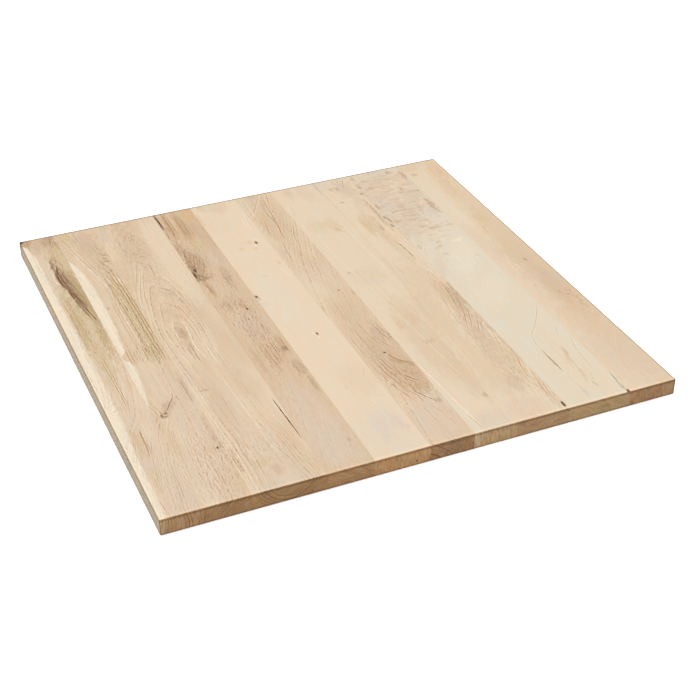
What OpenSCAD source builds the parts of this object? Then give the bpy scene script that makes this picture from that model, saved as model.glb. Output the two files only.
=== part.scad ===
// Square table top of solid oak, lying flat on its underside.
// Full-length staves are planed, butted edge to edge and glued, and the outside edges
// of the finished panel are then eased all round.
// X runs across the staves, Y along them from the front edge to the back, and Z is up.
// The origin is the centre of the underside.

/* [Panel] */
// Length of the staves, from the front edge to the back edge
panel_length = 800; // [600:5:1200]
// Thickness of the panel after planing
panel_thickness = 27; // [18:0.5:45]
// Radius eased on every outside edge and upright corner
arris_radius = 2; // [0.5:0.25:5]

/* [Stave widths] */
// Width of stave 1, at the left edge
stave_1_width = 60.5; // [40:0.5:140]
// Width of stave 2
stave_2_width = 69; // [40:0.5:140]
// Width of stave 3, which has the drying check
stave_3_width = 110.5; // [40:0.5:140]
// Width of stave 4
stave_4_width = 70; // [40:0.5:140]
// Width of stave 5
stave_5_width = 85.5; // [40:0.5:140]
// Width of stave 6
stave_6_width = 68.5; // [40:0.5:140]
// Width of stave 7
stave_7_width = 69; // [40:0.5:140]
// Width of stave 8
stave_8_width = 84.5; // [40:0.5:140]
// Width of stave 9
stave_9_width = 103; // [40:0.5:140]
// Width of stave 10, at the right edge
stave_10_width = 79.5; // [40:0.5:140]

/* [Drying check] */
// Length of the open check in the top face, from tip to tip
check_length = 110; // [90:1:160]
// Width of the check at its widest
check_width = 1.6; // [0.8:0.1:3]
// Depth of the check below the top face
check_depth = 6; // [2:0.5:12]
// Distance from the front tip to the widest place
check_belly = 58; // [20:1:80]
// Distance from the panel's front edge to the check's front tip
check_from_front = 86; // [20:1:300]
// Distance from the seam with stave 4 to the middle of the check
check_from_seam = 4.5; // [2:0.5:15]
// Lean of the check away from the seam, towards the back, in degrees
check_lean = 1.8; // [0:0.1:2]

/* [Hidden] */
$fn = 64;
NODES = [
    "stave_1", "stave_2", "stave_3", "stave_4", "stave_5",
    "stave_6", "stave_7", "stave_8", "stave_9", "stave_10",
];

STAVE_WIDTHS = [
    stave_1_width, stave_2_width, stave_3_width, stave_4_width, stave_5_width,
    stave_6_width, stave_7_width, stave_8_width, stave_9_width, stave_10_width,
];
STAVE_TONES = [
    [0.80, 0.70, 0.56], [0.81, 0.71, 0.58], [0.83, 0.72, 0.58], [0.79, 0.66, 0.52], [0.90, 0.80, 0.66],
    [0.80, 0.68, 0.54], [0.88, 0.77, 0.63], [0.83, 0.73, 0.60], [0.86, 0.78, 0.67], [0.86, 0.73, 0.58],
];
CHECKED_STAVE = 3;
PANEL_WIDTH = width_of_first(len(STAVE_WIDTHS));
// How far a cutter runs past the face that it opens
OVERCUT = 1;

// Width of the first n staves together
function width_of_first(n) = n == 0 ? 0 : STAVE_WIDTHS[n - 1] + width_of_first(n - 1);

// X of the seam on the right of stave n, which for n = 0 is the panel's left edge
function seam_x(n) = width_of_first(n) - PANEL_WIDTH / 2;

// A rectangle about the origin with its four corners rounded
module rounded_rectangle(width, height, radius) {
    square([width - 2 * radius, height], center = true);
    square([width, height - 2 * radius], center = true);
    for (x = [-1, 1], y = [-1, 1])
        translate([x * (width / 2 - radius), y * (height / 2 - radius)]) circle(radius);
}

// The whole panel's envelope: rounded as seen from the front, from the side and from above
module eased_panel() {
    translate([0, 0, panel_thickness / 2]) intersection() {
        rotate([90, 0, 0]) linear_extrude(panel_length, center = true)
            rounded_rectangle(PANEL_WIDTH, panel_thickness, arris_radius);
        rotate([90, 0, 90]) linear_extrude(PANEL_WIDTH, center = true)
            rounded_rectangle(panel_length, panel_thickness, arris_radius);
        linear_extrude(panel_thickness, center = true)
            rounded_rectangle(PANEL_WIDTH, panel_length, arris_radius);
    }
}

// The square-edged blank that stave n is planed to, a little longer and thicker than the panel
module stave_blank(n) {
    translate([seam_x(n - 1), -panel_length / 2 - OVERCUT, -OVERCUT])
        cube([STAVE_WIDTHS[n - 1], panel_length + 2 * OVERCUT, panel_thickness + 2 * OVERCUT]);
}

// The open check: a long kite, pointed at both ends, sunk into the top face beside the seam
module drying_check() {
    translate([
        seam_x(CHECKED_STAVE) - check_from_seam,
        check_from_front - panel_length / 2 + check_length / 2,
        panel_thickness - check_depth,
    ])
        rotate([0, 0, check_lean])
            translate([0, -check_length / 2, 0])
                linear_extrude(check_depth + OVERCUT)
                    polygon([
                        [0, 0], [check_width / 2, check_belly], [0, check_length], [-check_width / 2, check_belly],
                    ]);
}

// One stave, cut out of the eased panel so that only the outside edges are round
module stave(n) {
    color(STAVE_TONES[n - 1]) difference() {
        intersection() {
            eased_panel();
            stave_blank(n);
        }
        if (n == CHECKED_STAVE) drying_check();
    }
}

for (n = [1 : len(NODES)])
    stave(n);
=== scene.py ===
import math
from dataclasses import dataclass, field

import bpy
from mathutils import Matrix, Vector


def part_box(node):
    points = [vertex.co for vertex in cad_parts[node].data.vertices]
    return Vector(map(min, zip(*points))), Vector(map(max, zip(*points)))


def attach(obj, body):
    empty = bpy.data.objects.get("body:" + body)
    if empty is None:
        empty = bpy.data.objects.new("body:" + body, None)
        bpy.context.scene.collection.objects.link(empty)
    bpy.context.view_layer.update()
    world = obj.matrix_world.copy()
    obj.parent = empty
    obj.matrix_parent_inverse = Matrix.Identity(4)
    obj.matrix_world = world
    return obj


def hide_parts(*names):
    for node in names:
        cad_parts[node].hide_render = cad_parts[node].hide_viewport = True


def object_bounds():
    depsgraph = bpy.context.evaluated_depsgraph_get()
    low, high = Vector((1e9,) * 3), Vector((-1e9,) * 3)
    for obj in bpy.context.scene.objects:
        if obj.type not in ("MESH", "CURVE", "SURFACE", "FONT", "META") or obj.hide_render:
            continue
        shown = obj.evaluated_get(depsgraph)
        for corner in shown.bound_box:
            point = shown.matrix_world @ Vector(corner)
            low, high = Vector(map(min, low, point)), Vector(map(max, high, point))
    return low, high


bl_info = {
    "name": "Oak Table Top",
    "version": (1, 0, 0),
    "blender": (4, 5, 0),
    "location": "3D View > Sidebar > Table Top",
    "description": "A square table top of solid oak staves, with its grain, knots, checks and studio",
    "category": "Object",
}

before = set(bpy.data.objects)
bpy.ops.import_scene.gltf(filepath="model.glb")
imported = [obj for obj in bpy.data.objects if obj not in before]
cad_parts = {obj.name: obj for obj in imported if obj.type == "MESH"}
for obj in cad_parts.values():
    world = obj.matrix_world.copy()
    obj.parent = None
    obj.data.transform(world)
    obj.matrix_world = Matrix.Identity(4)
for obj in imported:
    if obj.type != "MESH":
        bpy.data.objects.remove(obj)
CAD_BOX = [list(corner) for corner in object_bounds()]

BODY = "root"
MM = 0.001
STAVES = [f"stave_{number}" for number in range(1, 1 + len(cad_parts))]
PANEL_LOW, PANEL_HIGH = (Vector(corner) for corner in CAD_BOX)


# Patches with these names aren't tones. They say where the grain is lively, barred by rays, specked or plain.
AREAS = ("flecks", "bars", "specks", "calm")


# What a stave's figure is described with. Every place is in millimetres on the stave's top face:
# across from its left seam, and along from the panel's front edge. Depth goes down from the top face.

@dataclass
class Swell:
    """A place where the growth rings bulge, as round a knot. Height is how far it shifts them."""
    across: float
    along: float
    half_width: float
    half_length: float
    height: float


@dataclass
class Patch:
    """A soft-edged oval of another tone, or one of the AREAS. Lean is millimetres across for each along."""
    across: float
    along: float
    half_width: float
    half_length: float
    tone: str
    strength: float = 0.6
    lean: float = 0.0
    ragged: float = 0.8


@dataclass
class Vein:
    """A thin line that runs with the grain through a few points (along, across)."""
    path: list
    half_width: float = 0.8
    tone: str = "line"
    strength: float = 0.5
    ragged: float = 0.9


@dataclass
class Figure:
    """How one stave was sawn from its log, and what shows on it."""
    slot: str
    pale: str
    tan: str
    pith_across: list
    pith_depth: list
    ring_width: float = 3.0
    rings: float = 0.5
    waviness: float = 4.0
    flecks: float = 0.3
    fibre: float = 0.2
    pores: float = 0.6
    rays: float = 0.25
    tint: tuple = (1.0, 1.0, 1.0)
    end_tint: tuple = (1.0, 1.0, 1.0)
    end_slope: float = 0.0
    sapwood: list = field(default_factory=list)
    swells: list = field(default_factory=list)
    patches: list = field(default_factory=list)
    veins: list = field(default_factory=list)
    end_patches: list = field(default_factory=list)


FIGURES = {
    "stave_1": Figure(
        slot="tan_oak", pale="pale", tan="pink", ring_width=3.2, rings=0.45, waviness=5, flecks=0.3,
        end_tint=(0.98, 1.0, 0.91),
        pith_across=[(0, -40), (150, -20), (260, 20), (340, 34), (420, 36), (520, 48), (600, 42), (680, 36), (800, 34)],
        pith_depth=[(0, 14), (200, 4), (300, -14), (450, -8), (560, -1), (660, -1), (740, -8), (800, -14)],
        sapwood=[(0, 9), (60, 12), (150, 13), (200, 16), (300, 18), (400, 17), (450, 18), (520, 16), (620, 14),
                 (700, 15), (755, 10), (780, -2)],
        patches=[
            Patch(38, 70, 34, 130, "pink", 0.5, ragged=0.3),
            Patch(36, 775, 34, 44, "clay", 0.85, ragged=0.7),
            Patch(42, 745, 22, 50, "olive", 0.6, ragged=0.6),
            Patch(34, 745, 10, 20, "pink", 0.5),
            Patch(50, 780, 16, 34, "brown", 0.75, ragged=1.2),
            Patch(50, 725, 11, 44, "olive", 0.8),
            Patch(40, 715, 9, 26, "brown", 0.5, ragged=1.2),
            Patch(8, 788, 11, 17, "brown", 0.9, ragged=0.6),
            Patch(30, 510, 16, 130, "olive", 0.85, ragged=0.6),
            Patch(27, 500, 10, 110, "moss", 0.35, ragged=1.0),
            Patch(36, 412, 10, 30, "warm", 0.6),
            Patch(54, 650, 12, 110, "olive", 0.9, ragged=0.6),
            Patch(48, 600, 17, 120, "moss", 1.0, lean=-0.08, ragged=0.6),
            Patch(54, 530, 11, 70, "moss", 0.9, ragged=0.8),
            Patch(38, 645, 9, 76, "line", 0.85, lean=-0.07, ragged=0.7),
            Patch(46, 575, 7, 66, "line", 0.75, lean=-0.12, ragged=0.9),
            Patch(53, 510, 4, 50, "line", 0.55, lean=-0.12, ragged=1.2),
            Patch(50, 450, 12, 90, "olive", 0.9, ragged=0.8),
            Patch(53, 470, 7, 70, "moss", 0.55, ragged=1.2),
            Patch(34, 380, 14, 60, "olive", 0.8, ragged=1.0),
            Patch(31, 300, 9, 70, "olive", 0.35),
            Patch(52, 310, 6, 22, "warm", 0.45),
            Patch(26, 165, 11, 44, "tan", 0.9),
            Patch(33, 165, 2.4, 38, "brown", 0.5, ragged=1.4),
            Patch(22, 82, 9, 34, "olive", 0.4),
            Patch(1, 798, 7, 9, "bark", 1.0, ragged=0.3),
            Patch(59, 418, 3, 40, "specks", 0.5),
            Patch(1, 440, 3, 50, "specks", 0.6),
            Patch(22, 480, 12, 110, "specks", 0.3),
            Patch(46, 770, 18, 34, "specks", 0.5),
            Patch(26, 500, 14, 130, "flecks", 0.8),
            Patch(24, 165, 12, 46, "flecks", 0.6),
            Patch(45, 730, 18, 80, "flecks", 0.6),
            Patch(40, 60, 30, 90, "flecks", 0.3),
            Patch(4, 340, 4, 44, "flecks", 1.0),
            Patch(15, 270, 6, 36, "flecks", 1.0),
            Patch(50, 470, 14, 90, "flecks", 0.8),
            Patch(8, 560, 9, 160, "calm", 0.9, ragged=0.2),
        ],
        veins=[
            Vein([(694, 41), (676, 34.5), (660, 31), (640, 31), (620, 36), (600, 39), (580, 40), (560, 43)],
                 2.2, "line", 0.85, 0.8),
            Vein([(690, 39), (668, 34), (640, 32), (615, 37), (590, 40)], 1.2, "bark", 0.7, 0.9),
            Vein([(700, 44), (686, 38), (668, 36), (640, 37), (616, 41)], 1.0, "bark", 0.75, 0.7),
            Vein([(604, 41), (585, 44), (570, 47), (552, 51), (540, 53)], 1.8, "bark", 0.6, 0.9),
            Vein([(568, 41), (550, 43), (530, 46), (506, 51)], 1.8, "line", 0.8, 0.8),
            Vein([(556, 49), (535, 51), (515, 54), (496, 57)], 1.2, "bark", 0.8, 0.7),
            Vein([(650, 45), (615, 49), (585, 53), (560, 56)], 0.9, "bark", 0.5, 0.8),
            Vein([(675, 50), (640, 53), (600, 57)], 0.8, "line", 0.4, 0.8),
            Vein([(684, 40.5), (655, 40), (622, 43), (590, 47)], 0.8, "tan", 0.6, 0.7),
            Vein([(570, 50), (540, 52), (505, 55)], 0.8, "tan", 0.5, 0.7),
            Vein([(640, 34), (620, 36), (606, 38.5)], 0.7, "tan", 0.4, 0.6),
            Vein([(760, 44), (725, 43), (700, 41)], 0.9, "line", 0.4),
            Vein([(800, 52), (780, 49), (760, 47)], 0.9, "bark", 0.5),
            Vein([(405, 30.5), (370, 31.5), (340, 32.5), (300, 33), (240, 33.5)], 0.8, "line", 0.65, 0.6),
            Vein([(412, 35), (380, 35.5), (340, 36), (248, 36)], 0.8, "line", 0.65, 0.6),
            Vein([(610, 20), (560, 20), (500, 21), (440, 21)], 0.7),
            Vein([(560, 28), (500, 29), (440, 31), (400, 34)], 0.7),
            Vein([(205, 33), (170, 32), (128, 29)], 0.9, "line", 0.6),
            Vein([(100, 50), (60, 47), (20, 46)], 0.7, "line", 0.3),
            Vein([(90, 34), (50, 31), (10, 30)], 0.7, "line", 0.3),
            Vein([(40, 12), (20, 14), (4, 16)], 0.9, "line", 0.45),
        ],
        end_patches=[Patch(12, 16, 2, 9, "line", 0.3), Patch(30, 12, 3, 12, "brown", 0.3)],
    ),
    "stave_2": Figure(
        slot="tan_oak", pale="pale", tan="tan", ring_width=3.0, rings=0.5, waviness=5, flecks=0.35,
        end_tint=(0.84, 0.80, 0.665), end_slope=1.5,
        pith_across=[(0, 96.5), (150, 100.5), (400, 104.5), (540, 102.5), (600, 95.5), (700, 76.5), (800, 54.5)],
        pith_depth=[(0, 46), (800, 52)],
        sapwood=[(238, 0), (262, 5), (300, 9), (345, 12.5), (368, 10), (380, 3), (392, 8), (406, 13), (440, 15),
                 (470, 17), (560, 18.5), (610, 17), (650, 13), (690, 5), (708, -5)],
        swells=[Swell(18.5, 222, 18, 34, 14)],
        patches=[
            Patch(45, 715, 30, 100, "clay", 0.35),
            Patch(50, 690, 20, 50, "olive", 0.4),
            Patch(38, 775, 16, 40, "pink", 0.6),
            Patch(18, 780, 12, 30, "olive", 0.95),
            Patch(44, 750, 22, 60, "clay", 0.5, ragged=0.6),
            Patch(10, 725, 9, 24, "tan", 0.5),
            Patch(27, 520, 7, 130, "pale", 0.5, ragged=0.4),
            Patch(44, 500, 8, 150, "clay", 0.5),
            Patch(54, 505, 19, 160, "olive", 0.85, ragged=0.5),
            Patch(56, 500, 12, 150, "moss", 0.3, ragged=0.9),
            Patch(58, 470, 9, 120, "brown", 0.15, ragged=1.0),
            Patch(16, 378, 10, 28, "tan", 0.7, ragged=1.0),
            Patch(52, 378, 20, 34, "olive", 0.9, ragged=0.6),
            Patch(52, 376, 16, 26, "brown", 0.25, ragged=1.2),
            Patch(32, 300, 40, 60, "pink", 0.5, ragged=0.3),
            Patch(46, 210, 34, 80, "pink", 0.7, ragged=0.4),
            Patch(65, 270, 6, 44, "clay", 0.8),
            Patch(65, 150, 6, 70, "clay", 0.5, ragged=1.0),
            Patch(35, 80, 40, 90, "pink", 0.6, ragged=0.3),
            Patch(54, 118, 16, 16, "tan", 0.6),
            Patch(66, 45, 6, 26, "olive", 0.5),
            Patch(27, 236, 12, 18, "clay", 0.7, lean=0.7, ragged=0.8),
            Patch(17, 218, 9, 10, "brown", 0.55, ragged=0.9),
            Patch(15.5, 216, 4.4, 4.4, "tan", 0.7, ragged=0.6),
            Patch(12, 216.5, 2.2, 4.2, "bark", 0.6, ragged=1.3),
            Patch(18.5, 220.5, 3.4, 2.0, "bark", 0.6, ragged=1.2),
            Patch(17, 213.0, 3.6, 1.6, "line", 0.6, ragged=1.1),
            Patch(22, 528, 2.5, 5, "line", 0.5),
            Patch(61, 115, 1.7, 3.0, "bark", 0.9, ragged=0.2),
            Patch(50, 520, 22, 190, "flecks", 1.0),
            Patch(58, 680, 12, 44, "flecks", 1.2),
            Patch(36, 390, 34, 40, "flecks", 0.7),
            Patch(40, 80, 44, 110, "flecks", 0.8),
            Patch(66, 120, 5, 90, "specks", 0.9),
            Patch(28, 236, 14, 18, "specks", 0.8, lean=0.6),
            Patch(56, 400, 12, 60, "specks", 0.35),
            Patch(8, 560, 10, 150, "calm", 1.0, ragged=0.1),
            Patch(26, 300, 26, 60, "calm", 0.6, ragged=0.3),
            Patch(22, 600, 14, 120, "calm", 0.5),
        ],
        veins=[
            Vein([(794, 4.5), (770, 7), (740, 13), (700, 19.5), (660, 27), (630, 33), (590, 38.5), (540, 38.5),
                  (480, 38), (420, 38.5), (356, 37.5)], 1.2, "sapwood", 0.65, 0.3),
            Vein([(600, 48), (540, 50), (470, 50.5), (400, 50), (360, 49)], 0.9, "sapwood", 0.5, 0.4),
            Vein([(790, 7), (750, 12.5), (715, 18.5), (680, 25), (640, 32.5), (600, 38.5)], 1.0, "line", 0.55),
            Vein([(660, 38), (620, 42), (540, 44), (470, 44.5), (356, 44)], 0.9, "line", 0.65),
            Vein([(680, 47), (630, 53), (560, 56), (480, 56), (356, 56.5)], 0.9, "line", 0.75),
            Vein([(675, 52), (620, 59), (540, 61.5), (450, 61.5), (354, 61.5)], 1.0, "line", 0.8),
            Vein([(668, 58), (610, 65), (500, 66), (380, 66)], 0.9, "line", 0.7),
            Vein([(560, 30), (500, 31), (440, 31.5), (370, 32)], 0.8, "line", 0.45),
            Vein([(404, 12), (380, 12), (356, 12.5)], 0.8, "line", 0.6),
            Vein([(404, 17), (380, 17), (358, 17.5)], 0.8, "line", 0.6),
            Vein([(400, 22), (380, 22), (362, 22)], 0.8, "line", 0.5),
            Vein([(400, 27), (380, 27), (362, 27)], 0.8, "line", 0.4),
            Vein([(408, 38), (380, 38), (354, 38)], 0.9, "line", 0.6),
            Vein([(404, 50), (380, 50), (354, 50)], 0.9, "line", 0.6),
            Vein([(410, 57.5), (380, 58), (350, 58)], 0.9, "line", 0.6),
            Vein([(404, 63), (380, 63), (354, 62.5)], 0.9, "line", 0.6),
            Vein([(256, 41), (246, 35), (234, 28), (224, 22)], 0.9, "bark", 0.7),
            Vein([(250, 39), (238, 30), (228, 23), (221, 18)], 0.8, "bark", 0.6),
            Vein([(270, 45), (252, 39.5), (238, 32.5)], 0.8, "line", 0.5),
            Vein([(235, 37), (228, 30), (222, 24)], 0.8, "line", 0.5),
            Vein([(222, 14), (216, 9), (212, 3)], 0.8, "line", 0.4),
            Vein([(790, 30), (765, 33), (740, 36)], 0.9, "line", 0.45),
            Vein([(740, 52), (715, 60), (690, 67)], 0.8, "line", 0.4),
            Vein([(735, 46), (700, 56), (668, 67)], 0.8, "line", 0.4),
            Vein([(340, 34), (290, 34.5), (255, 36)], 0.8, "pale", 0.8, 0.4),
            Vein([(300, 62), (265, 64), (225, 63)], 1.0, "line", 0.35),
            Vein([(160, 34.5), (130, 30.5), (80, 26.5)], 0.7, "line", 0.35),
            Vein([(100, 42.5), (60, 41.5), (20, 38.5)], 0.7, "line", 0.35),
            Vein([(90, 30.5), (50, 26.5), (10, 18.5)], 0.7, "line", 0.35),
        ],
        end_patches=[Patch(30, 13, 8, 2.4, "line", 0.35), Patch(62, 15, 5, 8, "brown", 0.35)],
    ),
    "stave_3": Figure(
        slot="tan_oak", pale="pale", tan="tan", ring_width=4.4, rings=0.6, waviness=4, flecks=0.25,
        end_tint=(0.86, 0.82, 0.67), end_slope=2.4,
        pith_across=[(0, 55.5), (100, 51.5), (250, 43.5), (415, 41.5), (560, 44.5), (700, 49.5), (800, 53.5)],
        pith_depth=[
            (0, -17), (110, -27), (200, -28.5), (340, -28.5), (395, -25.5), (415, -24.5), (458, -27.5),
            (571, -40), (640, -47), (800, -62),
        ],
        patches=[
            Patch(92, 650, 26, 190, "pale", 0.9, ragged=0.3),
            Patch(92, 520, 18, 60, "cool", 0.2),
            Patch(42, 720, 32, 110, "clay", 0.4),
            Patch(66, 770, 14, 40, "warm", 0.35),
            Patch(11, 762, 12, 34, "pink", 0.9),
            Patch(16, 790, 8, 10, "olive", 0.6),
            Patch(12, 640, 12, 60, "tan", 0.5),
            Patch(8, 500, 10, 70, "pale", 0.6),
            Patch(46, 590, 16, 50, "clay", 0.3),
            Patch(44, 470, 26, 30, "tan", 0.5, ragged=0.3),
            Patch(38, 400, 12, 50, "tan", 0.8),
            Patch(38, 411, 8, 24, "clay", 1.0, ragged=0.5),
            Patch(40, 412, 4, 15, "brown", 0.75, ragged=0.7),
            Patch(36, 362, 8, 30, "clay", 0.5, ragged=1.0),
            Patch(70, 418, 8, 34, "pink", 0.6),
            Patch(71, 420, 5, 24, "specks", 0.5),
            Patch(22, 345, 14, 22, "pale", 0.5),
            Patch(10, 300, 9, 34, "pink", 0.8, ragged=1.0),
            Patch(30, 190, 18, 90, "clay", 0.45, ragged=0.6),
            Patch(40, 200, 30, 120, "pink", 0.15, ragged=0.4),
            Patch(92, 240, 24, 160, "pink", 0.1, ragged=0.3),
            Patch(50, 60, 40, 90, "pink", 0.6),
            Patch(34, 60, 16, 12, "olive", 0.7),
            Patch(52, 38, 9, 16, "clay", 0.6),
            Patch(60, 10, 60, 14, "grey", 0.3),
            Patch(6, 70, 7, 34, "clay", 0.5, ragged=1.2),
            Patch(6, 68, 6, 34, "specks", 1.3),
            Patch(4, 115, 5, 60, "specks", 0.9),
            Patch(20, 253, 10, 3, "line", 0.3, ragged=1.0),
            Patch(26, 715, 8, 34, "specks", 0.5),
            Patch(50, 730, 12, 44, "specks", 0.5),
            Patch(46, 620, 24, 26, "specks", 0.45),
            Patch(52, 120, 12, 50, "specks", 0.35),
            Patch(46, 710, 26, 100, "flecks", 0.7),
            Patch(51, 510, 34, 120, "flecks", 0.5),
            Patch(40, 340, 16, 40, "flecks", 0.8),
            Patch(56, 110, 40, 90, "flecks", 0.6),
            Patch(6, 90, 9, 80, "flecks", 1.0),
            Patch(60, 240, 80, 150, "calm", 0.9, ragged=0.2),
            Patch(96, 450, 26, 400, "calm", 0.85, ragged=0.2),
            Patch(51, 25, 60, 40, "calm", 0.5),
        ],
        veins=[
            Vein([(640, 38), (610, 30), (570, 17), (530, 7), (500, 2)], 1.0, "pale", 0.8, 0.4),
            Vein([(625, 36), (595, 27), (560, 16.5), (520, 7.5)], 0.8, "line", 0.4),
            Vein([(660, 40), (620, 28), (580, 15), (550, 5)], 0.8, "line", 0.4),
            Vein([(640, 47), (600, 34), (560, 22), (520, 13)], 0.8, "line", 0.35),
            Vein([(458, 41), (448, 34.5), (430, 31), (400, 29)], 0.9, "sapwood", 0.6, 0.4),
            Vein([(458, 40), (450, 47), (430, 50), (400, 48), (372, 45.5), (345, 49), (318, 52.5)], 1.3, "sapwood",
                 0.75, 0.4),
            Vein([(470, 51), (440, 56), (400, 58), (360, 54)], 0.8, "line", 0.4),
            Vein([(430, 28), (400, 26.5), (370, 26), (340, 30)], 0.8, "line", 0.4),
            Vein([(390, 42), (365, 40), (340, 39.5), (318, 41)], 1.0, "line", 0.6),
            Vein([(370, 34), (350, 34), (328, 36)], 0.8, "line", 0.4),
            Vein([(375, 62), (350, 65), (325, 66)], 0.8, "line", 0.4),
            Vein([(640, 53.5), (615, 53), (590, 52)], 1.2, "line", 0.45),
            Vein([(760, 60), (735, 54), (710, 53)], 0.9, "line", 0.4),
            Vein([(735, 27), (700, 27), (670, 29)], 0.9, "line", 0.45),
            Vein([(300, 55), (250, 56), (200, 58), (150, 60), (100, 62), (60, 67), (30, 70)], 1.0, "sapwood", 0.5, 0.5),
            Vein([(240, 17), (200, 18), (150, 19)], 0.7, "line", 0.3),
            Vein([(250, 38), (200, 38), (140, 36)], 0.7, "line", 0.35),
            Vein([(125, 51.5), (95, 57.5), (60, 61.5), (34, 65.5)], 0.8, "line", 0.4),
            Vein([(90, 67.5), (65, 72.5), (36, 79.5)], 0.8, "line", 0.4),
            Vein([(120, 31), (90, 25), (60, 20)], 0.8, "line", 0.4),
            Vein([(195, 104), (170, 104.5), (150, 105.5)], 1.0, "bark", 0.6, 0.7),
        ],
        end_patches=[Patch(20, 6, 12, 2.2, "line", 0.45), Patch(70, 15, 30, 2.5, "line", 0.3, lean=0.0)],
    ),
    "stave_4": Figure(
        slot="brown_oak", pale="tan", tan="tan", ring_width=2.6, rings=0.3, waviness=8, flecks=0.35, rays=0.4,
        end_tint=(1.02, 1.03, 0.95), end_slope=-1.5,
        pith_across=[(0, -59), (560, -51), (640, -55), (800, -63)],
        pith_depth=[(0, 140), (400, 120), (800, 110)],
        swells=[Swell(3, 578, 24, 44, -20), Swell(63, 300, 16, 60, 8)],
        patches=[
            Patch(40, 740, 44, 90, "warm", 0.85, ragged=0.4),
            Patch(36, 735, 10, 70, "brown", 0.7, ragged=0.5),
            Patch(35, 722, 6, 34, "brown", 0.5, ragged=0.6),
            Patch(15, 750, 8, 60, "brown", 0.8, ragged=0.5),
            Patch(24, 770, 4, 40, "tan", 0.8, ragged=0.3),
            Patch(58, 776, 10, 44, "amber", 0.5, ragged=1.0),
            Patch(57, 715, 12, 40, "clay", 0.7),
            Patch(44, 784, 5, 12, "olive", 0.8),
            Patch(2, 765, 5, 40, "line", 0.75, ragged=0.8),
            Patch(2, 716, 3, 16, "moss", 0.7, ragged=0.6),
            Patch(40, 660, 14, 30, "olive", 0.7),
            Patch(62, 650, 8, 60, "clay", 0.5),
            Patch(8, 655, 12, 30, "brown", 0.6, ragged=1.0),
            Patch(52, 600, 16, 60, "pink", 0.5),
            Patch(18, 610, 24, 50, "clay", 1.0),
            Patch(14, 600, 17, 50, "brown", 0.75, ragged=1.0),
            Patch(7, 580, 8, 32, "line", 0.5, ragged=1.4),
            Patch(18, 553, 10, 6, "line", 0.45, lean=0.3, ragged=1.2),
            Patch(8, 584, 2.6, 5, "bark", 0.75, ragged=1.1),
            Patch(2.5, 570, 2.6, 8, "bark", 0.9, ragged=1.1),
            Patch(12, 518, 5, 34, "brown", 0.85, ragged=0.7),
            Patch(24, 520, 7, 40, "pink", 0.5),
            Patch(49, 540, 9, 44, "clay", 0.7, ragged=1.0),
            Patch(28, 465, 26, 26, "clay", 0.5, ragged=1.0),
            Patch(20, 455, 8, 20, "brown", 0.4, ragged=1.0),
            Patch(46, 440, 8, 24, "brown", 0.35, ragged=1.2),
            Patch(36, 390, 30, 50, "pink", 0.7, ragged=0.6),
            Patch(38, 380, 22, 50, "clay", 0.5, ragged=1.0),
            Patch(36, 302, 22, 46, "warm", 0.8, ragged=0.8),
            Patch(36, 300, 16, 44, "clay", 0.7, ragged=1.0),
            Patch(11, 290, 5, 60, "brown", 0.4, ragged=1.0),
            Patch(58, 320, 9, 34, "brown", 0.6, ragged=0.9),
            Patch(59, 308, 5, 9, "line", 0.6, ragged=0.8),
            Patch(50, 330, 5, 12, "olive", 0.6),
            Patch(60, 252, 10, 28, "brown", 0.5, ragged=1.2),
            Patch(64, 205, 5, 26, "moss", 0.6, ragged=0.6),
            Patch(63, 160, 6, 30, "olive", 0.6),
            Patch(31, 100, 42, 130, "pink", 0.9, ragged=0.2),
            Patch(30, 60, 30, 60, "grey", 0.2, ragged=0.3),
            Patch(57, 60, 3, 7, "brown", 0.6),
            Patch(46, 438, 2.6, 4.5, "bark", 0.9, ragged=0.7),
            Patch(10, 595, 18, 60, "specks", 1.0),
            Patch(6, 690, 9, 70, "specks", 0.6),
            Patch(50, 545, 9, 44, "specks", 0.7),
            Patch(36, 385, 24, 50, "specks", 0.45),
            Patch(36, 300, 18, 44, "specks", 0.6),
            Patch(60, 255, 9, 26, "specks", 0.5),
            Patch(36, 470, 22, 30, "specks", 0.35),
            Patch(21, 620, 30, 90, "flecks", 0.9),
            Patch(50, 545, 12, 55, "flecks", 1.1),
            Patch(20, 740, 24, 70, "flecks", 0.8),
            Patch(36, 330, 26, 80, "flecks", 1.0),
            Patch(31, 430, 34, 60, "flecks", 0.8),
            Patch(50, 545, 12, 50, "bars", 0.7),
            Patch(35, 310, 18, 60, "bars", 0.7),
            Patch(36, 410, 26, 70, "bars", 0.5),
            Patch(34, 90, 50, 120, "calm", 0.5),
        ],
        veins=[
            Vein([(798, 1.5), (770, 2.5), (738, 5)], 1.2, "bark", 0.85, 0.7),
            Vein([(798, 9), (770, 9), (745, 11)], 0.9, "tan", 0.9, 0.4),
            Vein([(795, 14), (750, 15), (700, 13)], 1.3, "line", 0.55),
            Vein([(780, 20), (745, 21), (700, 20)], 1.0, "line", 0.5),
            Vein([(790, 32), (750, 33), (705, 33)], 1.0, "line", 0.45),
            Vein([(770, 41), (735, 41), (700, 38)], 1.0, "line", 0.5),
            Vein([(748, 46), (720, 46), (690, 44)], 1.0, "line", 0.45),
            Vein([(640, 66), (660, 67), (680, 67)], 0.9, "line", 0.4),
            Vein([(612, 31), (590, 26), (572, 18), (560, 10)], 1.2, "line", 0.6),
            Vein([(552, 26), (556, 18), (566, 9)], 1.2, "bark", 0.6),
            Vein([(660, 13), (625, 6), (595, 4)], 1.2, "line", 0.7),
            Vein([(640, 23), (610, 15), (588, 10)], 1.0, "line", 0.6),
            Vein([(652, 9), (622, 10), (600, 9.5), (588, 8.5)], 0.9, "line", 0.6),
            Vein([(625, 20), (604, 16), (588, 12)], 0.8, "tan", 0.7),
            Vein([(630, 30), (605, 23), (585, 15)], 0.9, "line", 0.5),
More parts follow.
